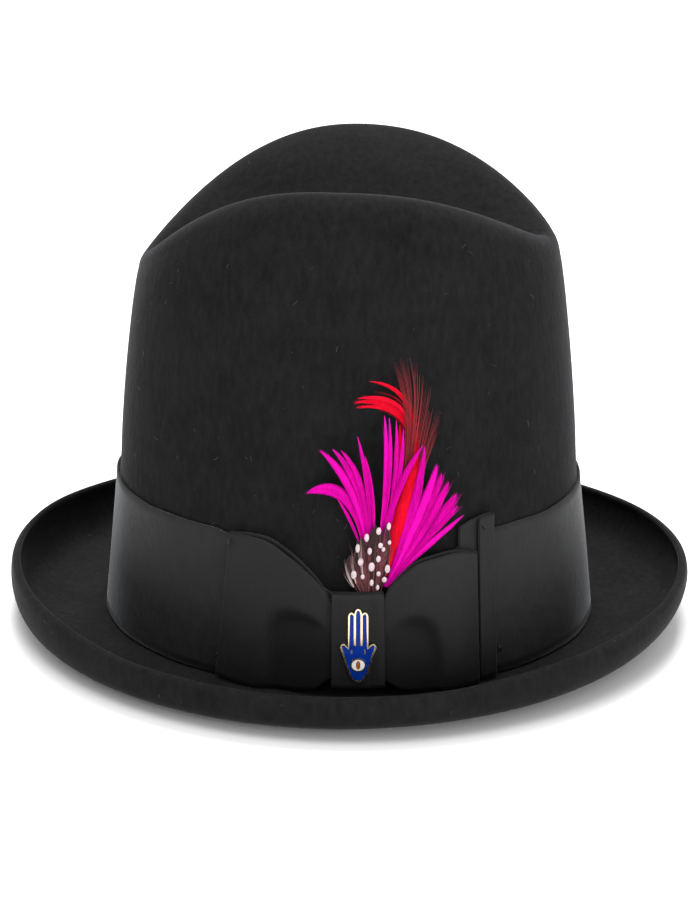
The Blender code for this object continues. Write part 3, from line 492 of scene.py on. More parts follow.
def outside_of(skin, name):
    """A copy of the skin's faces that look away from the head, for what grows on them."""
    work = bmesh.new()
    work.from_mesh(skin.data)
    hidden = []
    for face in work.faces:
        middle = face.calc_center_median()
        away = Vector((middle.x, middle.y, 0)).normalized()
        inside = face.normal.dot(away) < INSIDE_LOOK and middle.xy.length < INSIDE_REACH
        inside = inside and middle.z > INSIDE_FROM
        if inside or face.normal.z < DOWN_LOOK or middle.z < BARE_UNDER:
            hidden.append(face)
    bmesh.ops.delete(work, geom=hidden, context="FACES")
    mesh = bpy.data.meshes.new(name)
    work.to_mesh(mesh)
    work.free()
    made = bpy.data.objects.new(name, mesh)
    bpy.context.scene.collection.objects.link(made)
    return made


felt_look = felt_finish()
felt = felt_skin()
felt.data.materials.append(felt_look)
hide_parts("felt_body")

nap = Finish("felt_nap", Roughness=1.0, Specular_IOR_Level=0.05)
nap_cloud = nap.noise(nap.place(), scale=300)
nap.feed("Base Color", nap.blend(nap_cloud, (0.008, 0.008, 0.009), (0.030, 0.030, 0.032)))
nap_growth = fibre_growth("nap", nap.look, per_square_metre=42000.0, length=0.0011, thickness=0.000022,
                          lift=0.75, seed=3)
felt_nap = nap_growth.grow(outside_of(felt, "nap_ground"), "felt_nap")

lint = Finish("lint", Roughness=0.9, Specular_IOR_Level=0.1)
lint_cloud = lint.noise(lint.place(), scale=90)
lint.feed("Base Color", lint.blend(lint_cloud, (0.05, 0.05, 0.055), (0.20, 0.20, 0.21)))
lint_growth = fibre_growth("lint", lint.look, per_square_metre=2400.0, length=0.0018, thickness=0.000038,
                           lift=0.28, seed=8)
felt_lint = lint_growth.grow(outside_of(felt, "lint_ground"), "felt_lint")

for piece in (felt, felt_nap, felt_lint):
    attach(piece, "root")

# Hat band
# A wide length of black grosgrain drawn tight round the foot of the crown and sewn closed under the bow.
# Its ribs run from edge to edge; each edge is a narrow, closer woven selvedge.
RIBBON = 0.0008  # woven thickness
GAP = 0.0003  # air between the felt and the band
BAND = 0.0010  # room that the band takes
BAND_FOOT = 0.0032
BAND_WIDTH = 0.0594
BAND_COLUMNS = 480
BAND_ROWS = 17
BAND_START = 0.2  # where the first column lies, in half columns
RIB_PITCH = 0.00082
SELVEDGE = 0.0016
SELVEDGE_RISE = 0.00012
WALL_STEP = 0.01  # turn either way by which the wall's direction is measured
# Waves along the top edge: how many round the hat, where they start, height
BAND_WAVES = ((9, 1, 0.00018), (23, 0, 0.00012))
BAND_SLACK = 0.00022  # how unevenly the band lies on the felt
BAND_CLEAR = 0.0001
SLACK_MOST = 0.0005
# Top edge along the band: where it dips, the bow covers it
BAND_EDGE = np.array([
    (-0.0480, 0.0626), (-0.0300, 0.0600), (-0.0150, 0.0530), (0.0020, 0.0420),
    (0.0240, 0.0400), (0.0330, 0.0520), (0.0500, 0.0560), (0.0620, 0.0626),
])


def wall_point(angle, height):
    """Points of the crown's inner face by the oval's angle and the height."""
    angle, height = np.broadcast_arrays(np.asarray(angle, float), np.asarray(height, float))
    rise = np.clip((height - BAND_TOP) / (ridge_height(angle) - BAND_TOP), 0, 1)
    return np.where((height <= BAND_TOP)[..., None], crown_foot(angle, height), crown_ring(angle, rise))


def wall_out(angle, height, out):
    """Points that stand out from the felt's outer face by a level distance."""
    angle = np.asarray(angle)
    along = wall_point(angle + WALL_STEP, height) - wall_point(angle - WALL_STEP, height)
    outward = np.stack([along[..., 1], -along[..., 0], 0 * along[..., 0]], axis=-1)
    outward = outward / np.linalg.norm(outward, axis=-1, keepdims=True)
    return wall_point(angle, height) + outward * (FELT + np.asarray(out, float))[..., None]


turns = np.linspace(0, np.pi, 721)
level = wall_out(turns, (BAND_FOOT + BAND_TOP) / 2, BAND)
lengths = np.concatenate([[0], np.cumsum(np.linalg.norm(np.diff(level, axis=0), axis=1))])


def angle_at(along):
    along = np.asarray(along, float)
    return np.sign(along) * np.interp(np.abs(along), lengths, turns)


def on_wall(along, height, out):
    """A place on the crown's side: along the band from the side's middle, height, and out from the felt."""
    along, height, out = np.broadcast_arrays(*(np.asarray(value, float) for value in (along, height, out)))
    return wall_out(angle_at(along), height, out)


def cloth(name, grid, places, thickness, look, closed=False, around=False, painted_shade=None):
    """A length of ribbon through a grid of points. places are (across, up) in metres on the flat ribbon.
    closed joins the last row to the first, around joins the last column to the first.
    Where given, the last argument is a painted shade: how deep in a fold each point lies, from 0 to 1, by
    which the finish darkens the colour."""
    rows, columns = grid.shape[:2]
    flat = np.stack(places, axis=-1)
    last_row = len(flat) - 1
    last_column = flat.shape[1] - 1
    faces = []
    uv = []
    for row in range(rows if closed else rows - 1):
        for column in range(columns if around else columns - 1):
            corners = ((row, column), (row, column + 1), (row + 1, column + 1), (row + 1, column))
            faces.append(tuple((r % rows) * columns + c % columns for r, c in corners))
            uv += [flat[min(r, last_row), min(c, last_column)] for r, c in corners]
    made = mesh_from(name, grid, faces, look, uv)
    if painted_shade is not None:
        kept = made.data.attributes.new("painted_shade", "FLOAT", "POINT")
        kept.data.foreach_set("value", painted_shade.astype(np.float32).ravel())
    shell = made.modifiers.new("thickness", "SOLIDIFY")
    shell.thickness = thickness
    shell.offset = 0.0
    shell.use_even_offset = True
    return plain_mesh(made, name, look)


def grosgrain(name, strength, sheen, bright):
    """Black ribbed ribbon: u runs along the ribbon, v across it, both in metres; the ribs run across."""
    finish = Finish(
        name, Roughness=0.62, Specular_IOR_Level=0.24, Sheen_Weight=sheen, Sheen_Roughness=0.30,
        Sheen_Tint=(0.70, 0.72, 0.76, 1),
    )
    place = finish.place("UV")
    along = finish.parts(place)[0]
    rib = (along * (math.tau / RIB_PITCH)).sine() * 0.5 + 0.5
    weft = finish.noise(finish.stretched(place, (900, 140, 1)), scale=1.0, detail=2)
    cloudy = finish.noise(finish.place(), scale=170, detail=4, rough=0.7)
    share = (rib * 0.25 + weft * 0.50 + (cloudy - 0.5) * 1.8 + 0.5).clamped(0.25, 1.45)
    cloth_tone = finish.blend(share, (0.0062, 0.0062, 0.0067), (bright, bright, bright * 1.05))
    # Painted shade: the colour darkens toward near black by the kept fold depth, for the shade in a loop's
    # hollow.
    finish.feed("Base Color", finish.blend(finish.kept("painted_shade") * 0.8, cloth_tone, (0.0016, 0.0016, 0.0018)))
    finish.feed("Roughness", 0.44 + weft * 0.20 + cloudy * 0.16)
    finish.bump(rib * 0.7 + weft * 0.6 + cloudy * 3.0, distance=0.00016, strength=strength)
    return finish.look


def selvedge_swell(share, width):
    """Extra stand-out near a ribbon's long edges."""
    edges = (np.exp(-((part * width / SELVEDGE) ** 4)) for part in (share, 1 - share))
    return SELVEDGE_RISE * sum(edges)


ribbon_look = grosgrain("black_ribbon", strength=0.5, sheen=0.32, bright=0.0160)
angle = np.linspace(-np.pi, np.pi, BAND_COLUMNS, endpoint=False) + BAND_START * np.pi / BAND_COLUMNS
along = np.sign(angle) * np.interp(np.abs(angle), turns, lengths)
top = np.interp(along, BAND_EDGE[:, 0], BAND_EDGE[:, 1])
top = top + sum(size * np.sin(waves * angle + start) for waves, start, size in BAND_WAVES)
share = np.linspace(0, 1, BAND_ROWS)[:, None]
height = BAND_FOOT + share * (top - BAND_FOOT)
slow = np.sin(5 * angle + 0.4) * np.sin(3.1 * share + 0.2)
quick = np.sin(17 * angle + 2 * share)
slack = np.clip(BAND_SLACK * (slow + 0.5 * quick), -BAND_CLEAR, SLACK_MOST)
out = GAP + BAND / 2 + BAND_CLEAR + slack + selvedge_swell(share, BAND_WIDTH)
grid = wall_out(angle + 0 * share, height, out)
along_ribbon = np.append(along, along[0] + 2 * lengths[-1]) + 0 * share
up_ribbon = share * BAND_WIDTH + 0 * along_ribbon
band = cloth("hat_band_ribbon", grid, (along_ribbon, up_ribbon), RIBBON, ribbon_look, around=True)
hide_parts("hat_band")
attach(band, "root")

# Bow
# Two loops of the same ribbon, each turned back on itself and pinched in at the waist.
# A short wrap holds them; beside the right loop the ribbon's end is folded to a narrow pleat and tacked down.
KNOT_AT = 0.0122
KNOT_WIDTH = 0.0190
KNOT_TOP = 0.0449
KNOT_FOOT = 0.0067
KNOT_BACK = 0.00505
KNOT_FRONT = 0.00905
KNOT_CORNER = 0.0014
KNOT_SEAM = 0.0162
LOOP_ROWS = 64
LOOP_COLUMNS = 44
LEFT_SLANT = 0.0035
RIGHT_SLANT = 0.0012
END_SLANT = 0.0020
# Edges of each loop: along the band, top, foot
LEFT_EDGES = np.array([
    (-0.0422, 0.0632, 0.0042), (-0.0340, 0.0638, 0.0036), (-0.0245, 0.0625, 0.0034),
    (-0.0164, 0.0585, 0.0036), (-0.0085, 0.0532, 0.0042), (-0.0022, 0.0472, 0.0060),
    (0.0010, 0.0422, 0.0092), (0.0110, 0.0408, 0.0102),
])
RIGHT_EDGES = np.array([
    (0.0150, 0.0408, 0.0102), (0.0214, 0.0420, 0.0096), (0.0236, 0.0462, 0.0078),
    (0.0280, 0.0512, 0.0050), (0.0332, 0.0551, 0.0038), (0.0415, 0.0572, 0.0034),
    (0.0520, 0.0577, 0.0034), (0.0572, 0.0562, 0.0034),
])
# How far each layer stands out from the felt: along the band, out
LEFT_FRONT = np.array([
    (-0.0422, 0.0038), (-0.0340, 0.0056), (-0.0200, 0.0076), (-0.0070, 0.0084),
    (0.0010, 0.0077), (0.0110, 0.0077),
])
LEFT_BACK = np.array([
    (-0.0422, 0.0023), (-0.0180, 0.0024), (-0.0070, 0.0044), (0.0010, 0.00635), (0.0110, 0.00635),
])
RIGHT_FRONT = np.array([
    (0.0150, 0.0077), (0.0246, 0.0077), (0.0330, 0.0084), (0.0430, 0.0078),
    (0.0540, 0.0062), (0.0572, 0.0052),
])
RIGHT_BACK = np.array([
    (0.0150, 0.00635), (0.0246, 0.00635), (0.0332, 0.0048), (0.0430, 0.0037), (0.0572, 0.0037),
])
# The hollow beside the knot, open at the foot: how far it reaches along the loop and how far up, as shares
LEFT_HOLLOW = (0.64, 0.63)
RIGHT_HOLLOW = (0.64, 0.60)
HOLLOW_EDGE = 7.0  # how sharply the front layer folds in at the hollow's edge
HOLLOW_DEPTH = 0.86  # share of the room behind the front layer
DEEPEST = 0.93
LOOP_WIDTH = 0.0585
LAYER_GAP = 0.0004  # room kept between a loop's two layers
EDGE_CURL = 0.30  # how far the long edges lean back
FAN = 0.10  # depth of the small creases that fan out from the knot
FAN_REACH = 0.38
FAN_CREASES = 7.5  # half waves from foot to top
FAN_DRIFT = 2.2  # how far the creases turn aside on their way out
FOLD_TURNS = (22.5, 45, 67.5, 90, 112.5, 135, 157.5)  # degrees round the fold


def run_along(grid, column):
    """How far along the ribbon each row lies, measured down one column."""
    steps = np.linalg.norm(np.diff(grid[:, column], axis=0), axis=1)
    return np.concatenate([[0], np.cumsum(steps)])[:, None]


def bow_loop(name, edges, front, back, slant, hollow, look):
    """The front layer out to the fold, round it, and the back layer in to the waist."""
    waist_at, fold_at = sorted(edges[[0, -1], 0], key=lambda at: abs(at - KNOT_AT))
    stations = waist_at + (fold_at - waist_at) * np.linspace(0, 1, LOOP_ROWS)
    side = math.copysign(1, fold_at - waist_at)
    out_front = through(front[:, 0], front[:, 1], stations)
    out_back = through(back[:, 0], back[:, 1], stations)
    top = through(edges[:, 0], edges[:, 1], stations)
    foot = through(edges[:, 0], edges[:, 2], stations)
    radius = (out_front[-1] - out_back[-1]) / 2
    middle = (out_front[-1] + out_back[-1]) / 2
    share = np.linspace(0, 1, LOOP_COLUMNS)[None, :]
    toward = ((stations - waist_at) / (fold_at - waist_at))[:, None]
    room = np.maximum(0, out_front - out_back - RIBBON - LAYER_GAP)[:, None]
    reach_in, reach_up = hollow
    near = (toward / reach_in) ** 4 + (share / reach_up) ** 4
    dent = 1 / (1 + np.exp(np.clip(HOLLOW_EDGE * (near - 1), -40, 40)))
    curl = EDGE_CURL * np.abs(2 * share - 1) ** 6
    creases = np.sin(FAN_CREASES * math.pi * share + FAN_DRIFT * toward)
    fan = FAN * np.exp(-((toward / FAN_REACH) ** 2)) * creases
    press = np.clip(curl * (1 - dent) + HOLLOW_DEPTH * dent + fan * (1 - dent), 0, DEEPEST)
    along = stations[:, None] + slant * toward * share
    height = foot[:, None] + share * (top - foot)[:, None]
    rows = [on_wall(along, height, out_front[:, None] - room * press)]
    for turn in np.radians(FOLD_TURNS):
        here = fold_at + side * radius * math.sin(turn) + slant * share
        rows.append(on_wall(here, height[-1:], middle + radius * math.cos(turn)))
    rows.append(on_wall(along[::-1], height[::-1], out_back[::-1, None]))
    grid = np.concatenate(rows)
    run = run_along(grid, LOOP_COLUMNS // 2) + 0 * share
    across = share * LOOP_WIDTH + 0 * run
    # Painted shade: the front layer's hollow is kept as a depth that darkens the ribbon's colour there.
    painted_shade = np.zeros(grid.shape[:2])
    painted_shade[:LOOP_ROWS] = dent
    made = cloth(name, grid, (run, across), RIBBON, look, painted_shade=painted_shade)
    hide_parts(name.replace("_ribbon", ""))
    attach(made, "root")


# Painted shade: the bow's loops, knot and folded end are the band's own ribbon given a darker colour, for the
# shade they stand in.
bow_painted_shade_look = grosgrain("bow_ribbon", strength=0.35, sheen=0.11, bright=0.0098)
bow_loop("bow_left_loop_ribbon", LEFT_EDGES, LEFT_FRONT, LEFT_BACK, LEFT_SLANT, LEFT_HOLLOW, bow_painted_shade_look)
bow_loop("bow_right_loop_ribbon", RIGHT_EDGES, RIGHT_FRONT, RIGHT_BACK, RIGHT_SLANT, RIGHT_HOLLOW, bow_painted_shade_look)

# Knot
# A doubled strip of ribbon wound once round the waist, its overlap showing as a seam right of the middle.
KNOT_COLUMNS = 64
KNOT_FACE_ROWS = 34
KNOT_CORNER_STEP = 15  # degrees
LAP_EDGE = 0.00009
LAP_STEP = 0.00045
KNOT_BULGE = 0.0003
KNOT_PLEAT = 0.00010
KNOT_PLEATS = 3.3  # half waves from the middle to either edge
KNOT_DRIFT = 8  # how far the pleats turn aside, per metre of height
KNOT_STRAIGHT = 0.02  # the height where they stand straight
FACE_FROM = 0.0068  # where the wrap's face begins, out from the felt
FACE_OVER = 0.002


def knot_path():
    """The wrap's way round the waist: out from the felt and height, corner by corner and then up the face."""
    low = KNOT_FOOT + RIBBON / 2 + KNOT_CORNER
    high = KNOT_TOP - RIBBON / 2 - KNOT_CORNER
    near = KNOT_BACK + KNOT_CORNER
    far = KNOT_FRONT - KNOT_CORNER
    path = []
    for out_at, height_at, start in ((far, high, 0), (near, high, 90), (near, low, 180), (far, low, 270)):
        for turn in np.radians(start + np.arange(0, 91, KNOT_CORNER_STEP)):
            path.append((out_at + KNOT_CORNER * math.cos(turn), height_at + KNOT_CORNER * math.sin(turn)))
    path += [(KNOT_FRONT, height_at) for height_at in np.linspace(low, high, KNOT_FACE_ROWS)[1:-1]]
    return np.array(path)


path = knot_path()
out_at = path[:, 0:1]
height_at = path[:, 1:2]
share = np.linspace(-1, 1, KNOT_COLUMNS)[None, :]
along = KNOT_AT + share * KNOT_WIDTH / 2
is_front = np.clip((out_at - FACE_FROM) / FACE_OVER, 0, 1)
lap = 1 / (1 + np.exp((along - KNOT_SEAM) / LAP_EDGE))
pleats = np.sin(KNOT_PLEATS * math.pi * share + KNOT_DRIFT * (height_at - KNOT_STRAIGHT))
face = KNOT_PLEAT * pleats + KNOT_BULGE * (1 - share**2) + LAP_STEP * lap
grid = on_wall(along, height_at, out_at + is_front * face)
run = run_along(np.concatenate([grid, grid[:1]]), 0)
across = (share + 1) * KNOT_WIDTH / 2 + 0 * run
knot = cloth("bow_knot_ribbon", grid, (run + 0 * share, across), RIBBON, bow_painted_shade_look, closed=True)
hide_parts("bow_knot")
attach(knot, "root")

# Folded end
# The ribbon's own end, laid flat over the band and turned back to a narrow upright pleat.
END_BACK = np.array([(0.0512, 0.0665), (0.0560, 0.0685), (0.0620, 0.0700), (0.0652, 0.0700)])
END_FOOT = 0.0036
END_FOLD_FROM = 0.0590
END_OUT_BACK = 0.00215
END_OUT_FRONT = 0.0038
END_LIFT = 0.0003  # the loose edge stands this much further out
END_RIPPLE = 0.00016
END_MEASURED = 10  # the column down which its length is taken
END_HEIGHT = 0.064
END_COLUMNS = 34
END_BACK_ROWS = 18
END_FRONT_ROWS = 10
END_FOLD_TURNS = (22, 45, 67, 90, 112, 135, 158)

share = np.linspace(0, 1, END_COLUMNS)[None, :]
middle = (END_OUT_FRONT + END_OUT_BACK) / 2
radius = (END_OUT_FRONT - END_OUT_BACK) / 2
fold_at = END_BACK[-1, 0]
path = [(at, END_OUT_BACK) for at in np.linspace(END_BACK[0, 0], fold_at, END_BACK_ROWS)]
path += [(fold_at + radius * math.sin(turn), middle - radius * math.cos(turn))
         for turn in np.radians(END_FOLD_TURNS)]
path += [(fold_at + (END_FOLD_FROM - fold_at) * part, END_OUT_FRONT + END_LIFT * part)
         for part in np.linspace(0, 1, END_FRONT_ROWS)]
path = np.array(path)
top = np.interp(path[:, 0], END_BACK[:, 0], END_BACK[:, 1])[:, None]
ripple = END_RIPPLE * np.sin(9 * share + 200 * path[:, 0:1])
grid = on_wall(path[:, 0:1] + END_SLANT * share, END_FOOT + share * (top - END_FOOT), path[:, 1:2] + ripple)
run = run_along(grid, END_MEASURED)
across = share * END_HEIGHT + 0 * run
end_piece = cloth("ribbon_end_fold", grid, (run + 0 * share, across), RIBBON, bow_painted_shade_look)
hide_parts("ribbon_end")
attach(end_piece, "root")

# Tacking stitches
# Black thread, a few short passes at each place, holds the loops and the folded end down to the band.
# Places: along the band, height, out from the felt
TACKS = [
    (0.0630, 0.0658, 0.0046), (0.0585, 0.0510, 0.0030), (0.0672, 0.0180, 0.0019), (0.0690, 0.0130, 0.0019),
    (0.0582, 0.0072, 0.0030), (-0.0390, 0.0600, 0.0053), (-0.0433, 0.0115, 0.0036),
]
TACK_PASSES = 3
TACK_LENGTH = 0.0026
TACK_STRAY = 0.0005
TACK_TILT = 0.7
THREAD = 0.00019
NEAR = 0.001  # a millimetre, over which a direction is measured


def outward(along, height, out):
    """Which way the felt's outer face looks at a place."""
    return (on_wall(along, height, out + NEAR) - on_wall(along, height, out)) / NEAR


def marked_points(name, points, edges=(), **kept):
    """Points to grow on, joined by edges where given, with a number or a direction kept on each."""
    mesh = bpy.data.meshes.new(name)
    mesh.from_pydata([tuple(map(float, point)) for point in points], list(edges), [])
    for key, values in kept.items():
        values = np.array(values, np.float32)
        kind, field = ("FLOAT_VECTOR", "vector") if values.ndim == 2 else ("FLOAT", "value")
        mesh.attributes.new(key, kind, "POINT").data.foreach_set(field, values.ravel())
    made = bpy.data.objects.new(name, mesh)
    bpy.context.scene.collection.objects.link(made)
    return made


thread_look = Finish("black_thread", Roughness=0.42, Specular_IOR_Level=0.5)
thread_cloud = thread_look.noise(thread_look.place(), scale=2000)
thread_look.feed("Base Color", thread_look.blend(thread_cloud, (0.002, 0.002, 0.002), (0.009, 0.009, 0.010)))
chance = np.random.default_rng(31)
points = []
facing = []
way = []
for along_at, height_at, out_at in TACKS:
    for _ in range(TACK_PASSES):
        along = along_at + chance.uniform(-TACK_STRAY, TACK_STRAY)
        height = height_at + chance.uniform(-TACK_STRAY, TACK_STRAY)
        tilt = chance.uniform(-TACK_TILT, TACK_TILT)
        points.append(on_wall(along, height, out_at))
        facing.append(outward(along, height, out_at))
        onward = on_wall(along + NEAR * math.sin(tilt), height + NEAR * math.cos(tilt), out_at)
        way.append((onward - points[-1]) / NEAR)
ground = marked_points("tack_places", points, facing=facing, way=way)
tack_growth = Growth("tack", Length=TACK_LENGTH, Thread=THREAD, Look=thread_look.look)
share = tack_growth.sum_of("DIVIDE", tack_growth.size("Thread"), tack_growth.size("Length"))
stitch = tack_growth.tube(tack_growth.arc(6, (-0.5, 0, -0.08), (0, 0, 0.28), (0.5, 0, -0.08)), 6, share)
out_of, along_it = (tack_growth.kept(key, "FLOAT_VECTOR") for key in ("facing", "way"))
turn = tack_growth.facing("Z", out_of, "X", along_it)
size = tack_growth.sum_of("MULTIPLY", tack_growth.size("Length"), tack_growth.chance(0.7, 1.2, 33))
tack_growth.finish(tack_growth.placed(tack_growth.points(), stitch, turn, size))
tacks = tack_growth.grow(ground, "tacking_stitches")
tacks.data.shade_smooth()
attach(tacks, "root")

# Feathers
# Trimmed goose and hackle strips bound at the quill: each is a flat blade of barbs that run nearly along it.
# A spotted brown pad of two guinea feathers lies over the quill ends.
LEAN_FROM = 0.0470
LEAN_OVER = 0.0750
LEAN_POWER = 1.5
RED_LAYER = 0.00190
PINK_LAYER = 0.00303
GUINEA_LAYER = 0.00445
FRONT_LAYER = PINK_LAYER + 0.00085
VANE_LAYER = PINK_LAYER + 0.00040
STAGGER = 0.00016  # neighbouring strips of a bunch lie this much further out or in
BLADE_ROWS = 30
THINNEST = 0.00012
SWELL = 0.8  # how fully a strip swells between its ends
ROOT = 0.22  # share of the width kept at the quill
CUP = 60  # how much a strip is cupped across, per metre
TIP_LIMIT = 0.24  # barb reach near a tip, as a share of the length left
BARB_SLACK = 0.18  # how far a straight barb may stray outside a curved strip, as a share of its half width
BARB_STRETCH = 4.4  # a barb's length against the strip's half width
BARB_MARGIN = 0.0001
BARB_OUT = 0.0003
STRAND_STRAY = 0.0004
STRAND_ROOT = 0.35  # how far strands wander at the quill, and how much more toward the tip
STRAND_TIP = 1.1
STRAND_OUT = (-0.0004, 0.0006)
THINNING = 0.5  # share of a blade's thickness lost by its tip
# A blade's lens section: across and out
BLADE_SECTION = (
    (-1, 0), (-0.6, 0.8), (-0.2, 1), (0.2, 1), (0.6, 0.8),
    (1, 0), (0.6, -0.8), (0.2, -1), (-0.2, -1), (-0.6, -0.8),
)
# Strips in millimetres: start, bend and tip, each along the band and up; width; where along it, as a share,
# the strip is widest; and how far it leans out
PINK_STRIPS = [
    (15.5, 56.0, 11.5, 93.0, -7.5, 83.6, 6.6, 0.66, 6.0),
    (15.2, 56.0, 10.5, 72.5, 4.4, 82.0, 1.6, 0.60, 5.5),
    (16.0, 56.0, 13.5, 89.0, -1.9, 102.1, 4.2, 0.62, 7.0),
    (16.4, 56.0, 15.0, 90.0, 2.9, 102.8, 3.4, 0.60, 7.5),
    (16.8, 56.0, 16.4, 90.0, 6.0, 102.3, 3.4, 0.58, 7.0),
    (17.4, 56.0, 17.4, 88.0, 12.2, 108.2, 2.4, 0.52, 8.0),
    (18.2, 56.0, 19.0, 85.0, 15.0, 99.9, 2.2, 0.52, 7.0),
    (18.8, 54.0, 25.0, 88.0, 22.2, 116.6, 2.4, 0.62, 7.0),
    (19.4, 54.0, 26.2, 88.0, 23.9, 115.7, 2.2, 0.62, 8.0),
    (20.0, 54.0, 28.5, 86.0, 26.6, 114.4, 2.4, 0.62, 7.0),
    (20.4, 54.0, 29.4, 86.0, 29.3, 110.9, 2.2, 0.62, 8.0),
]
# The right-hand bunch, which lies over the red vane
FRONT_STRIPS = [
    (20.6, 50.0, 22.6, 82.0, 37.0, 103.8, 3.6, 0.56, 7.0),
    (22.4, 46.0, 34.5, 68.0, 37.6, 103.0, 5.2, 0.54, 6.5),
    (22.6, 46.0, 36.0, 69.0, 42.4, 95.0, 5.4, 0.62, 7.0),
    (22.8, 46.0, 37.0, 67.0, 44.6, 90.8, 5.0, 0.68, 6.5),
    (23.0, 46.0, 37.4, 65.0, 47.2, 87.2, 5.0, 0.72, 7.0),
    (23.2, 46.0, 37.6, 62.5, 50.8, 81.6, 5.6, 0.74, 6.5),
    (23.2, 46.0, 35.4, 62.0, 51.4, 76.4, 4.4, 0.74, 6.0),
    (23.4, 46.0, 33.6, 58.0, 53.8, 72.4, 3.2, 0.66, 6.0),
]
# The trimmed red vane between the bunches
VANE_STRIPS = [
    (22.0, 50.0, 28.2, 74.0, 35.4, 98.6, 6.4, 0.52, 5.5),
    (23.0, 50.0, 30.2, 72.0, 35.8, 97.0, 6.0, 0.50, 5.5),
]
RED_STRIPS = [
    (24.0, 54.0, 30.4, 84.0, 28.8, 110.7, 4.0, 0.62, 3.0),
    (25.0, 56.0, 48.0, 125.0, 11.2, 120.2, 4.2, 0.76, 3.0),
    (25.2, 56.0, 48.0, 127.0, 12.2, 121.9, 2.6, 0.78, 3.2),
    (24.8, 56.0, 47.0, 123.0, 11.8, 118.2, 2.6, 0.78, 3.1),
    (26.0, 56.0, 47.0, 126.0, 16.8, 128.6, 2.4, 0.66, 3.5),
]
GUINEA_STRIPS = [
    (14.0, 44.0, 10.4, 52.0, 9.2, 59.0, 8.0, 0.50, 9.0),
    (15.6, 44.0, 14.0, 56.0, 13.6, 66.5, 8.6, 0.52, 9.0),
    (17.6, 44.0, 18.0, 58.0, 19.0, 72.0, 8.6, 0.52, 9.0),
    (19.4, 44.0, 21.4, 56.0, 23.6, 72.5, 7.4, 0.52, 9.0),
]
# Pale loose barbs at the pad's left edge
PALE_STRIPS = [
    (10.5, 46.5, 7.6, 50.0, 6.4, 56.6, 0.8, 0.40, 9.0),
    (10.8, 46.5, 8.4, 52.0, 7.4, 59.4, 0.8, 0.40, 9.0),
    (11.4, 48.0, 9.4, 56.0, 9.6, 63.0, 0.8, 0.40, 9.0),
    (14.0, 52.0, 13.0, 60.0, 12.4, 68.6, 0.8, 0.40, 9.0),
]
# Dark loose tips of the hackle above the plume
WISPS = [
    (28.5, 84.0, 35.0, 116.0, 24.9, 138.7, 0.5, 0.4, 4.0),
    (29.0, 84.0, 36.0, 116.0, 27.5, 140.9, 0.5, 0.4, 4.5),
    (29.5, 84.0, 36.6, 118.0, 30.3, 139.8, 0.5, 0.4, 4.0),
    (30.0, 84.0, 36.6, 116.0, 33.4, 138.7, 0.5, 0.4, 4.5),
    (30.5, 84.0, 36.5, 111.5, 36.9, 133.2, 0.4, 0.4, 4.0),
    (31.0, 84.0, 37.6, 107.4, 39.8, 128.1, 0.4, 0.4, 3.5),
    (31.5, 82.0, 38.9, 103.2, 41.0, 120.0, 0.4, 0.4, 4.0),
    (32.0, 80.0, 39.5, 101.2, 45.0, 117.5, 0.5, 0.4, 4.5),
    (32.5, 78.0, 38.7, 95.2, 43.7, 109.8, 0.4, 0.4, 4.0),
]


def blade_lines(row, layer, rows=BLADE_ROWS):
    """A strip's middle line, row by row: along, height, out, its sideways direction, half width and share."""
    widest = row[7]
    start_along, start_up, bend_along, bend_up, tip_along, tip_up, width, _, lean = np.array(row) * 0.001
    share = np.linspace(0, 1, rows)
    weights = np.stack([(1 - share) ** 2, 2 * share * (1 - share), share**2], axis=1)
    along = weights @ (start_along, bend_along, tip_along)
    height = weights @ (start_up, bend_up, tip_up)
    slope_along = np.gradient(along)
    slope_up = np.gradient(height)
    length = np.hypot(slope_along, slope_up)
    swell = np.sin(np.pi * share ** (math.log(0.5) / math.log(widest))) ** SWELL
    half = np.maximum(THINNEST, width / 2 * np.maximum(swell, ROOT * (1 - share)))
    rise = np.maximum(0, (height - LEAN_FROM) / LEAN_OVER)
    out = layer + lean * rise**LEAN_POWER
    return along, height, out, slope_up / length, -slope_along / length, half, share


def blades(name, strips, layer, look, fill=0.8, thick=0.00020):
    """Flat blades of lens section, cupped a little, each a closed mesh; neighbours lie a hair apart."""
    points = []
    faces = []
    uv = []
    size = len(BLADE_SECTION)
    for number, row in enumerate(strips):
        own_layer = layer + STAGGER * (number * 2 % 5 - 2)
        along, height, out, side_along, side_up, half, share = blade_lines(row, own_layer)
        base = len(points)
        for k in range(BLADE_ROWS):
            for across, face in BLADE_SECTION:
                reach = across * half[k] * fill
                depth = thick * (1 - THINNING * share[k]) * face - CUP * (across * half[k]) ** 2
                here = (along[k] + reach * side_along[k], height[k] + reach * side_up[k], out[k] + depth)
                points.append(here)
        for k in range(BLADE_ROWS - 1):
            low = base + k * size
            for j in range(size):
                after = (j + 1) % size
                faces.append((low + j, low + after, low + size + after, low + size + j))
                corners = ((j, k), (after, k), (after, k + 1), (j, k + 1))
                uv += [(BLADE_SECTION[i][0], share[row_at]) for i, row_at in corners]
        faces.append(tuple(base + j for j in range(size)))
        faces.append(tuple(base + (BLADE_ROWS - 1) * size + j for j in reversed(range(size))))
        uv += [(0, 0)] * size + [(0, 1)] * size
    made = mesh_from(name, on_wall(*np.array(points).T), faces, look, uv)
    work = bmesh.new()
    work.from_mesh(made.data)
    bmesh.ops.recalc_face_normals(work, faces=work.faces)
    work.to_mesh(made.data)
    work.free()
    return made


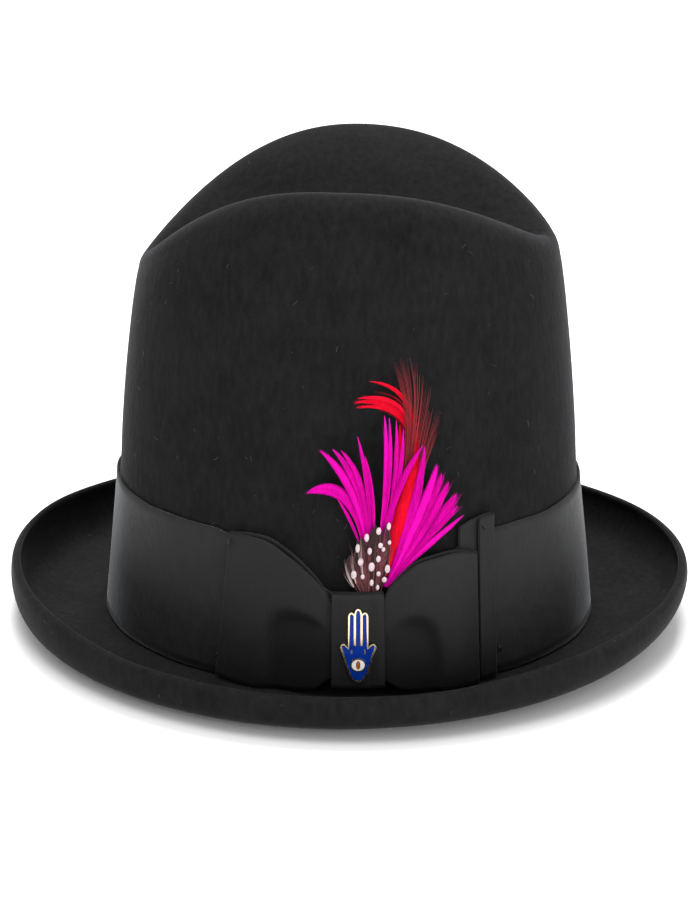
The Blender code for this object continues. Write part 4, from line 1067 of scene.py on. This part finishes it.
def feather_lines(name, strips, layer, rows=BLADE_ROWS, copies=1, spread=0.0, seed=0, shortest=0.72):
    """Each strip's middle line as a chain of edges; its points keep a barb's reach and which way is out.
    Copies wander off the middle line by a share of the strip's width, more toward the tip."""
    chance = np.random.default_rng(seed)
    points = []
    edges = []
    reach = []
    facing = []
    for row in strips:
        for _ in range(copies):
            along, height, out, side_along, side_up, half, share = blade_lines(row, layer, rows)
            steps_on = np.hypot(np.diff(along), np.diff(height))
            left = np.concatenate([np.cumsum(steps_on[::-1])[::-1], [0]])
            heading = np.unwrap(np.arctan2(np.gradient(height), np.gradient(along)))
            bend = np.abs(np.gradient(heading)) / np.append(steps_on, steps_on[-1])
            straight = np.sqrt(2 * (BARB_SLACK * half + BARB_MARGIN) / np.maximum(bend, 0.1)) / BARB_STRETCH
            aside = spread * chance.uniform(-1, 1) * (half.max() + STRAND_STRAY)
            aside = aside * (STRAND_ROOT + STRAND_TIP * share)
            half = np.minimum(np.minimum(half, TIP_LIMIT * left + BARB_MARGIN), straight)
            along = along + aside * side_along
            height = height + aside * side_up
            if copies > 1:
                keep = int(rows * chance.uniform(shortest, 1.0))
                along, height, out, half = along[:keep], height[:keep], out[:keep], half[:keep]
                out = out + chance.uniform(*STRAND_OUT)
            base = len(points)
            points += list(on_wall(along, height, out + BARB_OUT))
            facing += list(outward(along, height, out))
            reach += list(half)
            edges += [(base + k, base + k + 1) for k in range(len(along) - 1)]
    return marked_points(name, points, edges, reach=reach, facing=facing)


def barb_growth(name, look, spacing, slope, thickness, ragged, stretch=BARB_STRETCH):
    """Barbs on both sides of each middle line, leaving it at a low angle and tapering to a point."""
    growth = Growth(name, Spacing=spacing, Slope=slope, Stretch=stretch, Thickness=thickness, Ragged=ragged,
                    Look=look)
    inputs = {"Curve": growth.line(), "Length": growth.size("Spacing")}
    line = growth.node("GeometryNodeResampleCurve", {"mode": "LENGTH"}, inputs)
    onward = growth.node("GeometryNodeInputTangent")
    along_strip = growth.facing("Y", onward, "Z", growth.kept("facing", "FLOAT_VECTOR"))
    joined = growth.tree.nodes.new("GeometryNodeJoinGeometry")
    for number, side in enumerate((-1, 1)):
        curve = growth.arc(4, (0, 0, 0), (0.10 * side, 0.45, 0.0), (-0.02 * side, 1, -0.01))
        curve = growth.keep(curve, "tip", growth.node("GeometryNodeSplineParameter"), "POINT")
        barb = growth.tube(curve, 3, growth.size("Thickness"), growth.tapering(1.02, 2.5))
        angle = growth.sum_of("MULTIPLY", growth.size("Slope"), growth.chance(0.55, 1.25, 20 + number))
        turn = growth.spun(along_strip, growth.sum_of("MULTIPLY", angle, -side))
        low = growth.sum_of("SUBTRACT", 1.0, growth.size("Ragged"))
        size = growth.sum_of("MULTIPLY", growth.kept("reach"), growth.chance(low, 1.15, 30 + number))
        size = growth.sum_of("MULTIPLY", size, growth.size("Stretch"))
        barbs = growth.placed(line, barb, turn, size)
        barbs = growth.keep(barbs, "tone", growth.chance(0.0, 1.0, 40 + number), "INSTANCE")
        growth.tree.links.new(barbs, joined.inputs[0])
    growth.finish(joined.outputs[0])
    return growth


def strand_growth(name, look, thickness):
    """A fine strand along each line, tapering to its tip."""
    growth = Growth(name, Thickness=thickness, Look=look)
    growth.finish(growth.tube(growth.line(), 4, growth.size("Thickness"), growth.tapering(1.05, 2.0)))
    return growth


def feather_finish(name, deep, bright, sheen, shine=0.2):
    """Dyed barbs: fine streaks along the strip, each barb a tone of its own and darker at its tip."""
    finish = Finish(name, Roughness=0.5, Specular_IOR_Level=shine, Sheen_Weight=shine, Sheen_Roughness=0.4,
                    Sheen_Tint=(*sheen, 1))
    place = finish.place()
    streaks = finish.noise(finish.stretched(place, (1, 1, 0.14)), scale=1500, detail=3, rough=0.6)
    patches = finish.noise(place, scale=90, detail=2)
    tone = finish.kept("tone")
    tip = finish.kept("tip")
    share = (streaks * 0.9 + patches * 0.5 + tone * 0.6 - tip * tip * 0.75).clamped(0.05, 1.15)
    finish.feed("Base Color", finish.blend(share, deep, bright))
    finish.bump(streaks, distance=0.00012, strength=0.5)
    return finish.look


pink_look = feather_finish("pink_feather", (0.30, 0.000, 0.13), (1.00, 0.001, 0.56), (1.0, 0.1, 0.8), 0.05)
red_look = feather_finish("red_feather", (0.34, 0.000, 0.010), (1.00, 0.004, 0.034), (1.0, 0.1, 0.2), 0.05)
wisp_look = feather_finish("hackle_tip", (0.12, 0.006, 0.010), (0.38, 0.030, 0.040), (0.8, 0.3, 0.3))
pad_look = feather_finish("guinea_pad", (0.006, 0.0025, 0.0025), (0.040, 0.015, 0.015), (0.8, 0.6, 0.6))
guinea_look = feather_finish("guinea_feather", (0.020, 0.005, 0.006), (0.36, 0.115, 0.125), (0.8, 0.4, 0.5),
                             0.1)
pale_look = feather_finish("guinea_pale", (0.30, 0.20, 0.20), (0.75, 0.62, 0.60), (0.8, 0.7, 0.7))


def barbs_on(name, strips, layer, look, **barb):
    return barb_growth(name, look, **barb).grow(feather_lines(name + "_lines", strips, layer), name)


def strands_on(name, strips, layer, look, thickness, **lines):
    ground = feather_lines(name + "_lines", strips, layer, **lines)
    return strand_growth(name, look, thickness).grow(ground, name)


def bind(pieces, node):
    """Hides the node's part from the model; all the pieces ride with the hat."""
    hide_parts(node)
    for piece in pieces:
        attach(piece, "root")


pink_barb = {"spacing": 0.00050, "slope": 0.13, "thickness": 0.0075, "ragged": 0.35}
pink_strand = {"thickness": 0.00011, "rows": 20, "copies": 6}
front_strand = {"spread": 0.40, "seed": 25, **pink_strand}
pink = [
    blades("pink_blades", PINK_STRIPS, PINK_LAYER, pink_look),
    barbs_on("pink_barbs", PINK_STRIPS, PINK_LAYER, pink_look, **pink_barb),
    strands_on("pink_strands", PINK_STRIPS, PINK_LAYER, pink_look, spread=0.42, seed=23, **pink_strand),
    blades("pink_front_blades", FRONT_STRIPS, FRONT_LAYER, pink_look),
    barbs_on("pink_front_barbs", FRONT_STRIPS, FRONT_LAYER, pink_look, **pink_barb),
    strands_on("pink_front_strands", FRONT_STRIPS, FRONT_LAYER, pink_look, **front_strand),
]
bind(pink, "pink_feathers")

red = [
    blades("red_blades", RED_STRIPS, RED_LAYER, red_look, fill=0.7),
    blades("red_vane", VANE_STRIPS, VANE_LAYER, red_look),
    barbs_on("red_vane_barbs", VANE_STRIPS, VANE_LAYER, red_look, spacing=0.00045, slope=0.14,
             thickness=0.0070, ragged=0.4),
    barbs_on("red_barbs", RED_STRIPS, RED_LAYER, red_look, spacing=0.00045, slope=0.16, thickness=0.0070,
             ragged=0.5, stretch=5.0),
    strands_on("red_strands", RED_STRIPS[1:], RED_LAYER, red_look, thickness=0.00016, rows=22, copies=12,
               spread=1.1, seed=21),
    strands_on("red_wisps", WISPS, RED_LAYER, wisp_look, thickness=0.00015, rows=18, copies=6, spread=1.8,
               seed=22, shortest=0.90),
]
bind(red, "red_feathers")

guinea = [
    blades("guinea_blades", GUINEA_STRIPS, GUINEA_LAYER, pad_look),
    barbs_on("guinea_barbs", GUINEA_STRIPS, GUINEA_LAYER, guinea_look, spacing=0.00034, slope=0.45,
             thickness=0.016, ragged=0.4, stretch=1.5),
    strands_on("guinea_strands", GUINEA_STRIPS, GUINEA_LAYER + 0.0003, guinea_look, thickness=0.00009,
               rows=20, copies=9, spread=0.8, seed=27),
    strands_on("guinea_pale_strands", PALE_STRIPS, GUINEA_LAYER + 0.0005, pale_look, thickness=0.00007,
               rows=16, copies=5, spread=0.9, seed=28),
]
bind(guinea, "guinea_feathers")

# Guinea spots
# The pale round marks of a guinea feather, each a patch of white barbs standing just proud of the brown ones.
# Spots: along the band, height, size
SPOTS = [
    (0.0201, 0.0696, 1.0), (0.0239, 0.0715, 0.9), (0.0156, 0.0669, 1.1), (0.0122, 0.0624, 1.0),
    (0.0167, 0.0612, 1.0), (0.0208, 0.0635, 1.0), (0.0219, 0.0618, 0.8), (0.0242, 0.0646, 0.8),
    (0.0133, 0.0568, 1.0), (0.0200, 0.0579, 0.9), (0.0174, 0.0547, 1.1), (0.0234, 0.0537, 1.0),
    (0.0107, 0.0515, 1.0), (0.0140, 0.0507, 0.9), (0.0200, 0.0518, 0.9), (0.0222, 0.0493, 0.9),
    (0.0174, 0.0482, 0.9), (0.0196, 0.0462, 0.8),
]
SPOT_WIDTH = 0.00205
SPOT_HEIGHT = 0.00290
SPOT_THICKNESS = 0.45  # share of its width
SPOT_OUT = 0.0055
SPOT_LEAN = 0.009

spot_look = Finish("guinea_spot", Roughness=0.45, Specular_IOR_Level=0.4)
spot_cloud = spot_look.noise(spot_look.place(), scale=900)
spot_look.feed("Base Color", spot_look.blend(spot_cloud, (0.45, 0.32, 0.34), (0.86, 0.76, 0.78)))

along_at, height_at, sizes = np.array(SPOTS).T
rise = np.maximum(0, (height_at - LEAN_FROM) / LEAN_OVER)
out_at = SPOT_OUT + SPOT_LEAN * rise**LEAN_POWER
places = on_wall(along_at, height_at, out_at)
ground = marked_points("spots", places, facing=outward(along_at, height_at, out_at), size=sizes)
spot_growth = Growth("spot", Width=SPOT_WIDTH, Height=SPOT_HEIGHT, Look=spot_look.look)
ball = spot_growth.node("GeometryNodeMeshUVSphere", inputs={"Segments": 12, "Rings": 8, "Radius": 0.5})
turn = spot_growth.facing("Z", spot_growth.kept("facing", "FLOAT_VECTOR"), "Y", (0.05, 0, 1))
width = spot_growth.sum_of("MULTIPLY", spot_growth.size("Width"), spot_growth.chance(0.80, 1.12, 31))
tall = spot_growth.sum_of("MULTIPLY", spot_growth.size("Height"), spot_growth.chance(0.80, 1.30, 32))
thick = spot_growth.sum_of("MULTIPLY", spot_growth.size("Width"), SPOT_THICKNESS)
inputs = {0: spot_growth.vector(width, tall, thick), "Scale": spot_growth.kept("size")}
scale = spot_growth.node("ShaderNodeVectorMath", {"operation": "SCALE"}, inputs)
spot_growth.finish(spot_growth.placed(spot_growth.points(), ball, turn, scale))
spots = spot_growth.grow(ground, "guinea_spots")
spots.data.shade_smooth()
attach(spots, "root")

# Pin
# A small struck charm plated in pale gold: an open hand with an eye in its palm, a traditional figure.
# Hard enamel fills the hollows between its raised lines: blue for the hand, white and brown for the eye.
gold = Finish("pale_gold", Metallic=1.0, Roughness=0.22)
grain = gold.noise(gold.place(), scale=700, detail=3)
gold.feed("Base Color", gold.blend(grain, (0.86, 0.66, 0.36), (0.98, 0.84, 0.58)))
gold.feed("Roughness", 0.16 + grain * 0.14)


def enamel(name, deep, bright):
    finish = Finish(name, Roughness=0.30, Coat_Weight=0.04, Coat_Roughness=0.10, Specular_IOR_Level=0.10)
    cloud = finish.noise(finish.place(), scale=260, detail=2)
    finish.feed("Base Color", finish.blend(cloud, deep, bright))
    finish.bump(cloud, distance=0.00004, strength=0.15)
    return finish.look


pin_finishes = {
    "pin_plate": gold.look,
    "pin_enamel": enamel("blue_enamel", (0.001, 0.014, 0.16), (0.003, 0.040, 0.34)),
    "pin_eye": enamel("white_enamel", (0.80, 0.78, 0.74), (0.95, 0.94, 0.92)),
    "pin_pupil": enamel("brown_enamel", (0.22, 0.05, 0.01), (0.50, 0.14, 0.03)),
}
for node, look in pin_finishes.items():
    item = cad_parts[node]
    item.data.materials.clear()
    item.data.materials.append(look)

# Table and light
# The hat lies on a plain pale table top under broad soft lamps.
TABLE_REACH = 14.0
WORLD_LIGHT = 0.85
LAMP_AIM = Vector((0, 0, 0.09))
# Lamps: name, place, size, power, all aimed at the crown
LAMPS = (
    ("key", (-0.1, -0.5, 2.4), 1.0, 24),
    ("side", (1.5, -1.4, 0.40), 1.0, 15),
    ("back", (0.0, 1.0, 2.2), 1.2, 58),
)
CAMERA_AT = (0.0947, -0.9272, 0.4319)
CAMERA_WAY = (-0.0939, 0.9273, -0.3624)
CAMERA_LENS = 96.72


def look_along(item, way):
    item.rotation_euler = Vector(way).to_track_quat("-Z", "Y").to_euler()


table_finish = Finish("pale_table", Roughness=0.8, Specular_IOR_Level=0.1)
table_cloud = table_finish.noise(table_finish.place(), scale=6)
table_finish.feed("Base Color", table_finish.blend(table_cloud, (0.90, 0.90, 0.90), (0.93, 0.93, 0.93)))
corners = [(x * TABLE_REACH, y * TABLE_REACH, 0) for x, y in ((-1, -1), (1, -1), (1, 1), (-1, 1))]
table = mesh_from("table_top", corners, [(0, 1, 2, 3)], table_finish.look)

world = bpy.data.worlds.new("studio")
bpy.context.scene.world = world
world.use_nodes = True
sky = world.node_tree.nodes["Background"]
sky.inputs["Color"].default_value = (1, 1, 1, 1)
sky.inputs["Strength"].default_value = WORLD_LIGHT
bpy.context.scene.view_settings.view_transform = "Standard"

for name, at, size, power in LAMPS:
    lamp = bpy.data.lights.new(name, "AREA")
    lamp.size = size
    lamp.energy = power
    item = bpy.data.objects.new(name, lamp)
    bpy.context.scene.collection.objects.link(item)
    item.location = at
    look_along(item, LAMP_AIM - Vector(at))

camera_data = bpy.data.cameras.new("camera")
camera_data.lens = CAMERA_LENS
camera_data.sensor_width = 36
camera_data.clip_start = 0.01
camera = bpy.data.objects.new("camera", camera_data)
bpy.context.scene.collection.objects.link(camera)
camera.location = CAMERA_AT
look_along(camera, CAMERA_WAY)
bpy.context.scene.camera = camera
